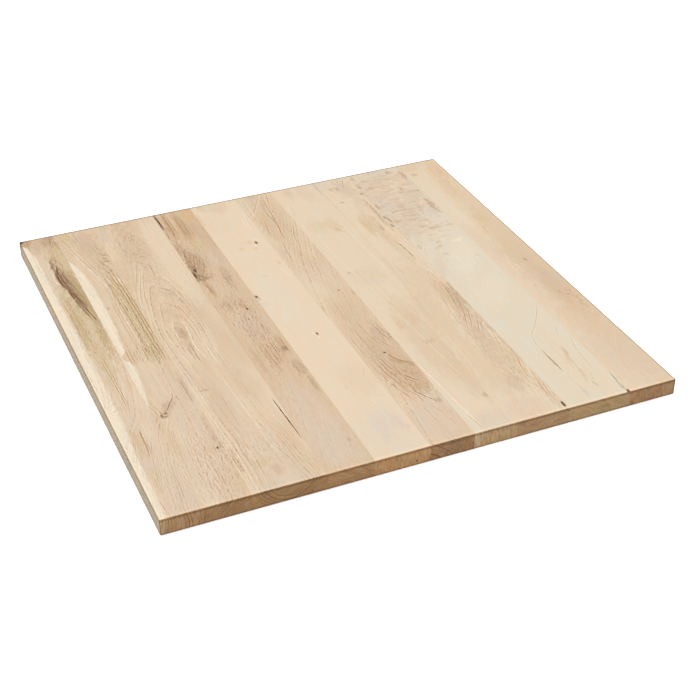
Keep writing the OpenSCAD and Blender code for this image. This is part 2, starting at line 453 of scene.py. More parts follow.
            Vein([(545, 5), (525, 10), (500, 13)], 1.2, "line", 0.6),
            Vein([(700, 13), (680, 8), (660, 4)], 1.0, "line", 0.4),
            Vein([(456, 45.5), (446, 46), (438, 46.3)], 0.8, "bark", 0.7, 0.5),
            Vein([(580, 46), (550, 47), (510, 46)], 0.8, "line", 0.4),
            Vein([(575, 52), (545, 53), (505, 51)], 0.8, "line", 0.4),
            Vein([(345, 29), (300, 31), (262, 30)], 0.8, "line", 0.45),
            Vein([(345, 36), (300, 38), (262, 35)], 0.8, "line", 0.45),
            Vein([(345, 43), (300, 44), (270, 40)], 0.8, "line", 0.4),
            Vein([(345, 62), (320, 62), (300, 60)], 1.0, "line", 0.6),
            Vein([(330, 68), (305, 66), (285, 60)], 0.9, "amber", 0.6),
            Vein([(275, 55), (250, 56), (232, 58)], 1.0, "line", 0.5),
        ],
        end_patches=[Patch(35, 18, 30, 2.2, "line", 0.3)],
    ),
    "stave_5": Figure(
        slot="pale_oak", pale="pale", tan="pale", tint=(1.02, 1.017, 1.022), ring_width=4.0, rings=0.04, waviness=5, fibre=0.05, flecks=0.03,
        pores=0.06, rays=0.08, end_tint=(0.99, 0.925, 0.765),
        pith_across=[(0, -117.5), (800, -107.5)],
        pith_depth=[(0, 160), (800, 140)],
        patches=[
            Patch(42, 740, 60, 80, "pale", 0.9, ragged=0.4),
            Patch(44, 782, 26, 26, "tan", 0.4, ragged=0.6),
            Patch(18, 785, 9, 18, "olive", 0.5),
            Patch(46, 768, 14, 18, "pink", 0.5),
            Patch(3, 740, 5, 30, "warm", 0.4),
            Patch(30, 690, 30, 80, "tan", 0.15, ragged=0.6),
            Patch(34, 450, 34, 110, "cool", 0.5, ragged=0.4),
            Patch(8, 440, 9, 12, "grey", 0.3, lean=-0.3),
            Patch(60, 190, 34, 60, "tan", 0.30, ragged=0.5),
            Patch(40, 640, 50, 60, "pale", 0.6),
            Patch(34, 621, 5, 5, "tan", 0.7),
            Patch(42, 638, 4, 5, "tan", 0.4),
            Patch(55, 636, 5, 8, "tan", 0.5),
            Patch(57, 614, 5, 6, "tan", 0.4),
            Patch(39, 522, 5, 4, "tan", 0.6),
            Patch(56, 566, 5, 9, "grey", 0.3),
            Patch(76, 552, 2.6, 9, "tan", 0.7, ragged=0.9),
            Patch(4, 460, 3, 12, "clay", 0.6, ragged=0.8),
            Patch(42, 60, 52, 90, "grey", 0.32, ragged=0.4),
            Patch(44, 72, 18, 36, "lavender", 0.4, ragged=1.0),
            Patch(67, 72, 11, 30, "lavender", 0.5, lean=-0.15, ragged=1.1),
            Patch(72, 60, 5, 14, "lavender", 0.5, lean=-0.4, ragged=1.1),
            Patch(45, 77, 7, 2.2, "lavender", 0.6),
            Patch(36, 40, 7, 12, "lavender", 0.4, lean=0.3),
            Patch(65, 632, 4.2, 7.4, "line", 0.45, ragged=0.8),
            Patch(50.5, 326.5, 3.0, 5.6, "line", 0.4, ragged=0.7),
            Patch(2.3, 466, 4.0, 6.6, "line", 0.5, ragged=0.6),
            Patch(60, 622, 2.6, 4, "sapwood", 0.9, ragged=0.4),
            Patch(71, 640, 2.4, 4, "sapwood", 0.9, ragged=0.4),
            Patch(65, 644, 3, 2, "sapwood", 0.8, ragged=0.4),
            Patch(50.5, 317, 2.4, 3, "sapwood", 0.8, ragged=0.4),
            Patch(46, 330, 2, 4, "sapwood", 0.6, ragged=0.4),
            Patch(40, 400, 60, 420, "calm", 0.5, ragged=0.1),
        ],
        veins=[
            Vein([(742, 82.5), (715, 76.5), (690, 74.5), (672, 78.5)], 0.9, "sapwood", 0.9, 0.4),
            Vein([(738, 86.5), (715, 80), (690, 78), (668, 81)], 0.8, "tan", 0.7, 0.6),
            Vein([(724, 72.5), (700, 70.5), (684, 72)], 0.9, "sapwood", 0.8, 0.4),
            Vein([(726, 75.5), (702, 73), (686, 75)], 0.8, "tan", 0.6, 0.6),
            Vein([(212, 79.5), (204, 74.5), (196, 69.5)], 0.8, "line", 0.25),
            Vein([(540, 70), (520, 74), (500, 80)], 0.9, "sapwood", 0.7, 0.6),
            Vein([(186, 36.5), (178, 34.5), (170, 32.5)], 1.0, "tan", 0.8, 0.7),
            Vein([(300, 60), (292, 66), (286, 70)], 0.8, "sapwood", 0.8, 0.6),
            Vein([(200, 50), (185, 46), (168, 40)], 0.8, "tan", 0.6, 0.7),
            Vein([(140, 52.5), (128, 56.5), (118, 59.5)], 1.0, "sapwood", 0.6, 0.6),
        ],
        end_patches=[Patch(64, 19, 1.6, 1.8, "bark", 0.9, ragged=0.3)],
    ),
    "stave_6": Figure(
        slot="brown_oak", pale="pale", tan="tan", ring_width=5.0, rings=0.7, waviness=3, flecks=0.2, fibre=0.08,
        pores=0.25, end_tint=(0.81, 0.765, 0.65),
        pith_across=[(0, -69), (400, -65), (520, -55), (800, -15)],
        pith_depth=[(0, 126), (150, 118), (400, 112), (520, 104), (800, 40)],
        swells=[Swell(73, 268, 40, 70, 26)],
        patches=[
            Patch(45, 700, 30, 90, "tan", 0.6, lean=0.12, ragged=0.4),
            Patch(40, 690, 12, 60, "clay", 0.2, lean=0.15, ragged=0.6),
            Patch(18, 700, 10, 60, "warm", 0.4, lean=0.1),
            Patch(27, 768, 16, 36, "pink", 0.9, ragged=0.4),
            Patch(28, 792, 8, 8, "olive", 0.8),
            Patch(38, 750, 4, 34, "brown", 0.3, lean=0.2, ragged=1.0),
            Patch(20, 636, 12, 20, "warm", 0.4, ragged=0.7),
            Patch(10, 560, 8, 60, "tan", 0.5),
            Patch(35, 500, 40, 50, "pink", 0.35, ragged=0.3),
            Patch(33, 360, 26, 44, "tan", 0.7, ragged=0.4),
            Patch(27, 320, 9, 60, "olive", 0.6, ragged=0.5),
            Patch(13, 300, 8, 44, "warm", 0.35),
            Patch(50, 400, 22, 90, "tan", 0.4),
            Patch(40, 250, 50, 160, "tan", 0.75, ragged=0.3),
            Patch(34, 270, 16, 30, "olive", 0.5, ragged=0.7),
            Patch(52, 285, 16, 30, "clay", 0.5, ragged=0.9),
            Patch(24, 185, 14, 56, "warm", 0.7, ragged=0.6),
            Patch(45, 185, 28, 60, "warm", 0.7, ragged=0.5),
            Patch(40, 190, 40, 110, "clay", 0.5, ragged=0.5),
            Patch(50, 175, 26, 70, "brown", 0.2, lean=-0.2, ragged=0.7),
            Patch(49, 138, 18, 15, "amber", 0.25, lean=-0.5, ragged=0.7),
            Patch(50, 134, 17, 12, "brown", 0.25, lean=-0.4, ragged=0.9),
            Patch(54, 203, 9, 10, "moss", 0.9, lean=-0.8, ragged=0.8),
            Patch(62, 192, 8, 7, "brown", 0.7, ragged=0.8),
            Patch(44, 218, 5, 14, "brown", 0.7, lean=-0.3, ragged=0.9),
            Patch(39, 236.5, 3.8, 3.6, "line", 0.8, ragged=0.7),
            Patch(59, 92, 6, 8, "line", 0.5, ragged=1.3),
            Patch(61, 62, 5, 5, "line", 0.35, ragged=1.2),
            Patch(53, 46, 2, 3, "line", 0.6, ragged=0.6),
            Patch(34, 60, 46, 56, "pink", 0.8, ragged=0.4),
            Patch(20, 70, 18, 40, "grey", 0.15),
            Patch(48, 431.5, 1.8, 2.0, "bark", 0.7, ragged=0.3),
            Patch(66, 415, 2, 14, "line", 0.3, ragged=1.0),
            Patch(50, 150, 20, 60, "specks", 0.5),
            Patch(56, 275, 14, 40, "specks", 0.5),
            Patch(55, 95, 10, 30, "specks", 0.7),
            Patch(26, 270, 10, 30, "specks", 0.3),
            Patch(64, 260, 6, 60, "specks", 0.5),
            Patch(35, 660, 40, 120, "flecks", 0.4),
            Patch(28, 360, 10, 40, "flecks", 0.8),
            Patch(28, 265, 10, 26, "flecks", 1.1),
            Patch(24, 180, 20, 60, "flecks", 0.9),
            Patch(45, 160, 22, 50, "flecks", 0.9),
            Patch(56, 290, 14, 50, "flecks", 0.9),
            Patch(20, 400, 30, 60, "calm", 0.5, ragged=0.3),
            Patch(35, 450, 40, 40, "calm", 0.6, ragged=0.3),
            Patch(30, 50, 40, 50, "calm", 0.4),
        ],
        veins=[
            Vein([(796, 51), (775, 47), (750, 44), (720, 41), (690, 40)], 1.0, "line", 0.55, 0.8),
            Vein([(798, 60), (770, 54), (745, 48)], 1.0, "line", 0.55, 0.8),
            Vein([(745, 33), (715, 34), (690, 36), (650, 32), (620, 28)], 1.0, "line", 0.65, 0.7),
            Vein([(740, 43), (700, 39), (660, 34), (636, 30)], 1.0, "line", 0.65, 0.7),
            Vein([(670, 62), (650, 56), (625, 48), (600, 44)], 1.0, "line", 0.6, 0.7),
            Vein([(700, 20), (670, 15), (640, 10)], 1.0, "line", 0.6, 0.7),
            Vein([(620, 22), (590, 18), (560, 15), (540, 10)], 1.0, "line", 0.6, 0.7),
            Vein([(560, 46), (530, 38), (500, 34), (470, 32)], 0.8, "line", 0.35),
            Vein([(795, 27), (770, 26), (745, 22)], 0.9, "line", 0.35),
            Vein([(790, 8), (760, 8), (720, 7), (690, 6)], 0.9, "line", 0.4),
            Vein([(720, 60), (700, 55), (680, 50)], 0.8, "line", 0.35),
            Vein([(236, 40), (226, 43), (216, 47), (206, 54), (197, 63), (192, 68)], 1.2, "line", 0.85, 0.7),
            Vein([(192, 33), (174, 39), (160, 46), (150, 55), (144, 67)], 1.4, "line", 0.85, 0.7),
            Vein([(186, 44), (172, 50), (162, 58), (156, 67)], 1.0, "line", 0.6),
            Vein([(178, 53), (168, 59), (162, 67)], 0.9, "line", 0.5),
            Vein([(134, 34), (122, 39), (108, 46), (94, 54)], 1.2, "bark", 0.65),
            Vein([(130, 52), (124, 60), (118, 67)], 1.2, "line", 0.6),
            Vein([(115, 35), (105, 37), (98, 39)], 1.0, "line", 0.5),
            Vein([(226, 14), (190, 17), (160, 22), (136, 28), (112, 38), (96, 50)], 1.0, "line", 0.65),
            Vein([(232, 20), (190, 24), (160, 30), (140, 37), (124, 47)], 1.0, "line", 0.65),
            Vein([(215, 8), (180, 10), (150, 15), (120, 22), (96, 32)], 0.9, "line", 0.6),
            Vein([(240, 26), (205, 28), (180, 33), (160, 40), (140, 52), (130, 64)], 0.9, "line", 0.6),
            Vein([(300, 7), (260, 8), (225, 12)], 0.9, "line", 0.5),
            Vein([(330, 22), (290, 22), (250, 25), (225, 30)], 0.9, "line", 0.5),
            Vein([(340, 34), (300, 36), (270, 40), (246, 48)], 0.9, "line", 0.5),
            Vein([(330, 52), (305, 56), (280, 58), (258, 62)], 1.0, "line", 0.5),
            Vein([(318, 60), (295, 63), (270, 67)], 0.9, "line", 0.45),
            Vein([(285, 42), (265, 48), (245, 54)], 1.0, "line", 0.5),
            Vein([(100, 30), (60, 33), (20, 37)], 0.9, "line", 0.25),
            Vein([(90, 42), (75, 47), (60, 54)], 1.0, "line", 0.4),
        ],
        end_patches=[Patch(34, 13, 22, 3, "line", 0.4), Patch(34, 5, 26, 2, "bark", 0.35)],
    ),
    "stave_7": Figure(
        slot="pale_oak", pale="pale", tan="pale", ring_width=4.2, rings=0.06, waviness=5, fibre=0.07, flecks=0.05,
        pores=0.10, rays=0.10, end_tint=(1.04, 1.12, 1.12),
        pith_across=[(0, -119), (800, -109)],
        pith_depth=[(0, 16), (800, 20)],
        patches=[
            Patch(34, 400, 60, 420, "cool", 0.1, ragged=0.2),
            Patch(28, 775, 10, 26, "olive", 0.5),
            Patch(56, 770, 16, 34, "pink", 0.5),
            Patch(30, 640, 22, 26, "olive", 0.3),
            Patch(56, 636, 14, 34, "warm", 0.35),
            Patch(59, 618, 5, 14, "clay", 0.6, lean=-0.4, ragged=1.0),
            Patch(40, 450, 34, 34, "pink", 0.4),
            Patch(52, 330, 20, 70, "tan", 0.3),
            Patch(44, 230, 34, 150, "tan", 0.6, ragged=0.4),
            Patch(58, 130, 14, 90, "tan", 0.5, ragged=0.4),
            Patch(50, 238, 14, 6, "clay", 0.5, ragged=1.2),
            Patch(50, 305, 9, 22, "tan", 0.6, ragged=0.8),
            Patch(26, 300, 6, 20, "tan", 0.6, ragged=0.8),
            Patch(48, 95, 12, 24, "pink", 0.5),
            Patch(58, 79, 4, 7, "brown", 0.55, ragged=0.7),
            Patch(16, 474, 3.4, 5, "clay", 0.7),
            Patch(29, 472, 3, 4, "clay", 0.35),
            Patch(40, 20, 40, 30, "grey", 0.6, ragged=0.4),
            Patch(6, 50, 7, 100, "cool", 0.9, lean=-0.06, ragged=0.3),
            Patch(50, 236, 14, 12, "specks", 0.35),
            Patch(48, 200, 22, 60, "flecks", 0.35),
            Patch(27, 298, 9, 24, "flecks", 0.45),
            Patch(60, 620, 10, 18, "flecks", 0.7),
        ],
        veins=[
            Vein([(700, 16), (620, 17), (540, 18), (470, 23), (400, 32), (320, 37.5), (240, 43), (150, 48), (80, 52)],
                 1.7, "sapwood", 0.25, 0.4),
            Vein([(480, 26), (400, 35), (320, 40.5), (240, 46), (160, 51)], 1.0, "tan", 0.6, 0.6),
            Vein([(735, 10), (710, 5), (700, 1)], 1.0, "sapwood", 0.7, 0.5),
            Vein([(205, 2), (170, 5), (120, 9), (60, 13), (5, 18)], 2.0, "sapwood", 0.7, 0.3),
            Vein([(205, 4), (160, 8), (110, 12), (60, 16)], 0.9, "tan", 0.8, 0.6),
            Vein([(48, 12), (25, 14.5), (6, 17)], 0.8, "line", 0.5),
            Vein([(440, 45), (400, 47), (360, 49)], 0.9, "tan", 0.6),
            Vein([(184, 42), (150, 44), (110, 47)], 0.8, "clay", 0.5),
            Vein([(260, 60), (220, 62), (180, 62)], 0.8, "clay", 0.5),
            Vein([(350, 66), (330, 65), (300, 66)], 0.9, "tan", 0.8),
        ],
        end_patches=[Patch(5, 13, 5, 18, "pale", 0.3), Patch(30, 13, 3, 14, "amber", 0.25)],
    ),
    "stave_8": Figure(
        slot="tan_oak", pale="pale", tan="pale", ring_width=4.0, rings=0.28, waviness=6, flecks=0.12, fibre=0.08,
        rays=0.25, pores=0.25, end_tint=(0.885, 0.905, 0.885), end_slope=1.2,
        pith_across=[(0, -87.5), (800, -87.5)],
        pith_depth=[(0, 116), (90, 100), (230, 84), (330, 76), (800, 70)],
        swells=[Swell(78.5, 335, 36, 60, -22), Swell(64.5, 600, 22, 50, 6)],
        patches=[
            Patch(24, 780, 20, 30, "lavender", 0.35, ragged=0.4),
            Patch(16, 775, 3, 36, "lavender", 0.3, ragged=0.4),
            Patch(62, 755, 20, 44, "pink", 0.9),
            Patch(37, 758, 5, 8, "clay", 0.8, ragged=1.0),
            Patch(49, 758, 4, 6, "clay", 0.8, ragged=1.0),
            Patch(36, 705, 6, 4, "clay", 0.8, ragged=1.0),
            Patch(66, 690, 14, 30, "pink", 0.6),
            Patch(42, 610, 9, 44, "olive", 0.7, ragged=0.5),
            Patch(40, 620, 5, 26, "warm", 0.4),
            Patch(55, 600, 14, 80, "tan", 0.6),
            Patch(76, 640, 6, 60, "clay", 0.6, ragged=0.8),
            Patch(62, 590, 4, 10, "brown", 0.5, ragged=0.8),
            Patch(82, 722, 2.6, 7, "bark", 0.6, ragged=0.9),
            Patch(82, 625, 2.8, 8, "bark", 0.55, ragged=1.0),
            Patch(82, 592, 2.8, 6, "line", 0.6, ragged=1.0),
            Patch(62, 510, 12, 60, "olive", 0.35),
            Patch(22, 450, 12, 60, "pink", 0.4),
            Patch(50, 400, 30, 90, "tan", 0.45),
            Patch(66, 330, 18, 80, "tan", 0.9, ragged=0.4),
            Patch(72, 330, 13, 54, "clay", 0.6, lean=0.15, ragged=0.9),
            Patch(77, 330, 5, 34, "brown", 0.4, ragged=1.4),
            Patch(62, 350, 6, 26, "olive", 0.6),
            Patch(20, 300, 26, 110, "tan", 0.55, ragged=0.3),
            Patch(60, 250, 22, 60, "clay", 0.35, ragged=0.7),
            Patch(57, 175, 24, 90, "clay", 0.45, ragged=0.7),
            Patch(70, 130, 14, 70, "olive", 0.4, lean=0.2),
            Patch(45, 90, 16, 30, "clay", 0.5, ragged=0.8),
            Patch(24, 140, 30, 100, "tan", 0.5, ragged=0.3),
            Patch(30, 25, 40, 34, "pink", 0.50, ragged=0.5),
            Patch(76, 50, 9, 50, "clay", 0.4, ragged=0.8),
            Patch(82, 260, 3, 160, "line", 0.18, ragged=1.3),
            Patch(80, 660, 5, 140, "specks", 0.6),
            Patch(60, 600, 10, 50, "specks", 0.35),
            Patch(45, 765, 24, 30, "specks", 0.35),
            Patch(76, 320, 10, 70, "specks", 0.45),
            Patch(50, 260, 12, 40, "specks", 0.3),
            Patch(58, 175, 24, 90, "flecks", 0.7),
            Patch(62, 290, 20, 60, "flecks", 0.6),
            Patch(78, 640, 8, 150, "flecks", 0.8),
            Patch(72, 380, 12, 50, "flecks", 0.8),
            Patch(76, 60, 10, 60, "flecks", 0.8),
            Patch(50, 90, 20, 40, "flecks", 0.5),
            Patch(56, 170, 22, 70, "bars", 0.5),
            Patch(18, 400, 26, 420, "calm", 0.85, ragged=0.2),
        ],
        veins=[
            Vein([(800, 13.5), (775, 14.5), (740, 15.5)], 1.0, "line", 0.35, 0.6),
            Vein([(650, 4), (560, 4), (480, 9), (420, 11)], 1.2, "sapwood", 0.45, 0.4),
            Vein([(790, 74), (772, 66), (756, 61)], 0.9, "line", 0.55),
            Vein([(796, 62), (780, 58), (766, 57)], 0.8, "line", 0.4),
            Vein([(704, 57), (702, 66), (698, 73), (690, 76)], 1.5, "clay", 0.9, 0.5),
            Vein([(695, 76), (670, 77), (640, 76), (610, 78)], 1.2, "line", 0.4, 0.8),
            Vein([(640, 62), (615, 64), (590, 62)], 0.8, "line", 0.35),
            Vein([(547, 60.5), (535, 64), (515, 67.5), (490, 69), (470, 69.5)], 1.1, "line", 0.95, 0.5),
            Vein([(520, 64.5), (500, 66), (478, 66)], 1.1, "olive", 0.9, 0.4),
            Vein([(540, 67), (520, 70.5), (500, 72)], 0.9, "sapwood", 0.8, 0.3),
            Vein([(385, 74), (370, 72), (350, 70), (330, 67), (300, 60)], 1.0, "line", 0.6),
            Vein([(345, 76), (320, 72), (295, 66), (270, 58), (250, 50)], 1.0, "line", 0.6),
            Vein([(310, 80), (290, 73), (265, 64), (240, 54)], 0.9, "line", 0.55),
            Vein([(290, 83), (270, 77), (245, 67), (222, 58)], 0.9, "line", 0.5),
            Vein([(265, 82), (245, 74), (225, 66)], 0.9, "line", 0.45),
            Vein([(360, 56), (330, 52), (290, 46), (250, 42)], 0.9, "line", 0.4),
            Vein([(245, 84), (205, 76), (165, 70)], 0.9, "line", 0.4),
            Vein([(390, 62.5), (375, 57.5), (362, 54.5)], 0.8, "line", 0.4),
            Vein([(430, 70), (405, 62), (385, 56)], 0.8, "line", 0.3),
            Vein([(160, 82), (135, 77), (110, 72), (80, 70)], 1.0, "line", 0.55),
            Vein([(120, 82.5), (90, 78.5), (50, 73.5), (20, 70)], 1.0, "line", 0.5),
            Vein([(80, 83), (55, 79), (30, 74)], 0.9, "line", 0.4),
        ],
        end_patches=[
            Patch(8, 4, 5, 5, "line", 0.6, ragged=0.6), Patch(12, 9, 3, 4, "line", 0.5, ragged=0.6),
            Patch(56, 13, 4, 12, "brown", 0.4),
        ],
    ),
    "stave_9": Figure(
        slot="pale_oak", pale="cool", tan="cool", ring_width=2.6, rings=0.04, waviness=8, fibre=0.05, flecks=0.05,
        pores=0.08, rays=0.15, end_tint=(0.96, 1.0, 0.91), end_slope=-1.5,
        pith_across=[(0, -100), (300, -110), (800, -100)],
        pith_depth=[(0, 130), (400, 110), (800, 90)],
        patches=[
            Patch(50, 700, 80, 140, "pink", 0.75, ragged=0.4),
            Patch(46, 745, 60, 60, "tan", 0.2, ragged=0.8),
            Patch(60, 300, 60, 140, "pale", 0.2, ragged=0.4),
            Patch(50, 50, 60, 90, "pale", 0.4, ragged=0.4),
            Patch(70, 735, 30, 18, "pale", 0.5, ragged=0.6),
            Patch(26, 580, 44, 70, "pink", 0.7, lean=0.2),
            Patch(20, 668, 14, 30, "lavender", 0.2, lean=0.1, ragged=0.7),
            Patch(86, 618, 15, 34, "grey", 0.6, ragged=0.6),
            Patch(5, 780, 4, 8, "brown", 0.5, ragged=1.3),
            Patch(4, 748, 4, 9, "brown", 0.6, ragged=1.3),
            Patch(22, 764, 6, 5, "clay", 0.9, lean=-1.0, ragged=0.8),
            Patch(22, 735, 7, 7, "clay", 0.9, ragged=1.0),
            Patch(78, 780, 6, 6, "line", 0.35, ragged=1.5),
            Patch(98, 762, 6, 20, "brown", 0.6, ragged=1.2),
            Patch(72, 709, 2.6, 6, "line", 0.55, ragged=1.2),
            Patch(66, 697, 7, 3, "clay", 0.8, ragged=0.8),
            Patch(90, 695, 10, 4, "clay", 0.9, lean=-1.5, ragged=0.8),
            Patch(3, 662, 3, 14, "brown", 0.7, ragged=1.2),
            Patch(24, 636, 8, 4, "clay", 0.6, ragged=1.1),
            Patch(44, 660, 8, 24, "clay", 0.5, ragged=1.3),
            Patch(34, 622, 5, 3, "clay", 0.6, ragged=1.1),
            Patch(71, 628, 3, 22, "clay", 0.6, ragged=1.2),
            Patch(96, 630, 5, 30, "brown", 0.6, ragged=1.3),
            Patch(2, 612, 3, 14, "line", 0.5, ragged=1.2),
            Patch(12, 600, 12, 8, "tan", 0.6, ragged=0.9),
            Patch(64, 556, 12, 6, "clay", 0.6, ragged=1.0),
            Patch(88, 556, 10, 4, "clay", 0.6, ragged=1.0),
            Patch(82, 566, 3, 5, "clay", 0.6, ragged=1.0),
            Patch(8, 505, 8, 8, "clay", 0.5, ragged=1.0),
            Patch(38, 492, 8, 7, "clay", 0.5, lean=1.0, ragged=1.3),
            Patch(46, 508, 5, 5, "clay", 0.6, ragged=1.1),
            Patch(38, 466, 8, 5, "clay", 0.45, ragged=1.3),
            Patch(80, 502, 14, 7, "sapwood", 0.7, ragged=1.0),
            Patch(84, 441, 7, 3, "clay", 0.5, lean=-1.0, ragged=0.9),
            Patch(10, 430, 12, 50, "pink", 0.35, lean=0.3),
            Patch(60, 440, 30, 60, "sapwood", 0.35, lean=0.3),
            Patch(50, 330, 40, 60, "sapwood", 0.20, lean=0.3),
            Patch(70, 100, 34, 110, "pale", 0.45, ragged=0.5),
            Patch(66, 120, 5, 26, "tan", 0.6, lean=0.3, ragged=1.2),
            Patch(70, 128, 3, 9, "clay", 0.35, lean=0.3, ragged=1.1),
            Patch(64, 68, 4, 16, "clay", 0.4, lean=0.3, ragged=1.2),
            Patch(67, 36, 3, 7, "clay", 0.4, lean=0.1, ragged=1.2),
            Patch(39.5, 112, 2.6, 40, "tan", 0.9, ragged=0.8),
            Patch(42, 25, 4, 14, "grey", 0.9, ragged=1.0),
            Patch(46, 690, 66, 120, "bars", 1.25),
            Patch(50, 560, 50, 60, "bars", 0.9),
            Patch(2, 660, 5, 150, "specks", 0.8),
            Patch(98, 700, 7, 100, "specks", 0.7),
            Patch(100, 28, 4, 34, "specks", 1.0),
            Patch(40, 680, 60, 120, "flecks", 0.25),
            Patch(34, 490, 30, 50, "flecks", 0.2),
            Patch(66, 90, 14, 70, "flecks", 0.4),
        ],
        veins=[
            Vein([(274, 101), (262, 96), (246, 88), (230, 78), (218, 69), (206, 60), (195, 50), (180, 43.5),
                  (165, 40), (150, 39)], 1.2, "line", 0.28, 0.7),
            Vein([(155, 39), (130, 39.5), (100, 40), (84, 40.5)], 0.9, "line", 0.5, 0.7),
            Vein([(84, 40.5), (60, 41), (30, 42), (14, 42)], 0.7, "line", 0.3),
            Vein([(176, 101), (155, 96), (130, 90), (100, 86), (60, 84)], 1.1, "line", 0.2),
            Vein([(200, 95), (186, 89), (172, 82)], 0.8, "line", 0.3),
            Vein([(150, 74), (120, 69), (90, 66), (60, 62)], 0.8, "line", 0.3),
            Vein([(190, 66), (160, 60), (130, 57)], 0.8, "tan", 0.6),
            Vein([(60, 101.5), (40, 100.5), (20, 99.5), (2, 100.5)], 0.9, "bark", 0.75, 0.9),
            Vein([(36, 98), (20, 97), (6, 98)], 0.8, "line", 0.6),
            Vein([(500, 14), (480, 9), (462, 3)], 0.9, "line", 0.3),
            Vein([(430, 12), (410, 6), (396, 2)], 0.9, "clay", 0.5),
            Vein([(460, 40), (450, 50), (446, 56)], 0.9, "sapwood", 0.7, 0.4),
            Vein([(420, 100), (380, 88), (340, 80)], 1.0, "sapwood", 0.4, 0.5),
            Vein([(330, 40), (320, 56), (312, 76)], 1.0, "sapwood", 0.35, 0.5),
        ],
        end_patches=[Patch(58, 14, 14, 3, "line", 0.35), Patch(62, 8, 10, 2, "brown", 0.4)],
    ),
    "stave_10": Figure(
        slot="tan_oak", pale="pale", tan="pale", ring_width=2.8, rings=0.05, waviness=6, fibre=0.06, flecks=0.05,
        pores=0.08, rays=0.1, tint=(1.0, 0.99, 0.975), end_tint=(0.81, 0.77, 0.665),
        pith_across=[(0, 61), (800, 71)],
        pith_depth=[(0, 90), (800, 100)],
        patches=[
            Patch(60, 240, 60, 380, "pink", 0.5, ragged=0.5),
            Patch(62, 350, 36, 460, "tan", 0.5, ragged=0.7),
            Patch(14, 640, 20, 110, "cool", 0.6, ragged=0.3),
            Patch(18, 560, 16, 60, "sapwood", 0.2, ragged=0.5),
            Patch(16, 752, 9, 7, "clay", 0.7, ragged=0.6),
            Patch(20, 780, 26, 20, "tan", 0.5),
            Patch(60, 760, 18, 50, "warm", 0.45),
            Patch(66, 735, 6, 24, "amber", 0.3),
            Patch(52, 690, 14, 60, "tan", 0.5),
            Patch(52, 560, 16, 36, "olive", 0.45),
            Patch(44, 430, 30, 60, "olive", 0.35),
            Patch(50, 390, 24, 60, "tan", 0.4),
            Patch(54, 310, 24, 80, "clay", 0.45, ragged=0.5),
            Patch(56, 250, 22, 60, "warm", 0.35),
            Patch(34, 345, 18, 18, "pink", 0.5),
            Patch(40, 210, 30, 70, "warm", 0.2),
            Patch(30, 90, 40, 90, "pink", 0.4),
            Patch(3, 330, 4, 180, "pale", 0.6, ragged=0.3),
            Patch(12, 470, 14, 120, "pink", 0.3),
            Patch(50, 396, 3, 6, "line", 0.4, ragged=0.9),
            Patch(39, 523, 3, 6, "clay", 0.9, ragged=0.6),
            Patch(53, 345, 3, 5, "clay", 0.6, ragged=0.9),
            Patch(23, 316, 4, 4, "clay", 0.5),
            Patch(49, 282, 4, 7, "clay", 0.7, ragged=0.9),
            Patch(65, 240, 5, 34, "clay", 0.3, ragged=1.1),
            Patch(64, 240, 7, 40, "specks", 0.3),
            Patch(56, 285, 12, 24, "specks", 0.35),
            Patch(50, 390, 6, 30, "specks", 0.3),
            Patch(65, 240, 9, 40, "flecks", 0.7),
            Patch(58, 285, 12, 18, "flecks", 0.6),
        ],
        end_patches=[Patch(66, 13, 12, 12, "brown", 0.25, ragged=1.2)],
    ),
}


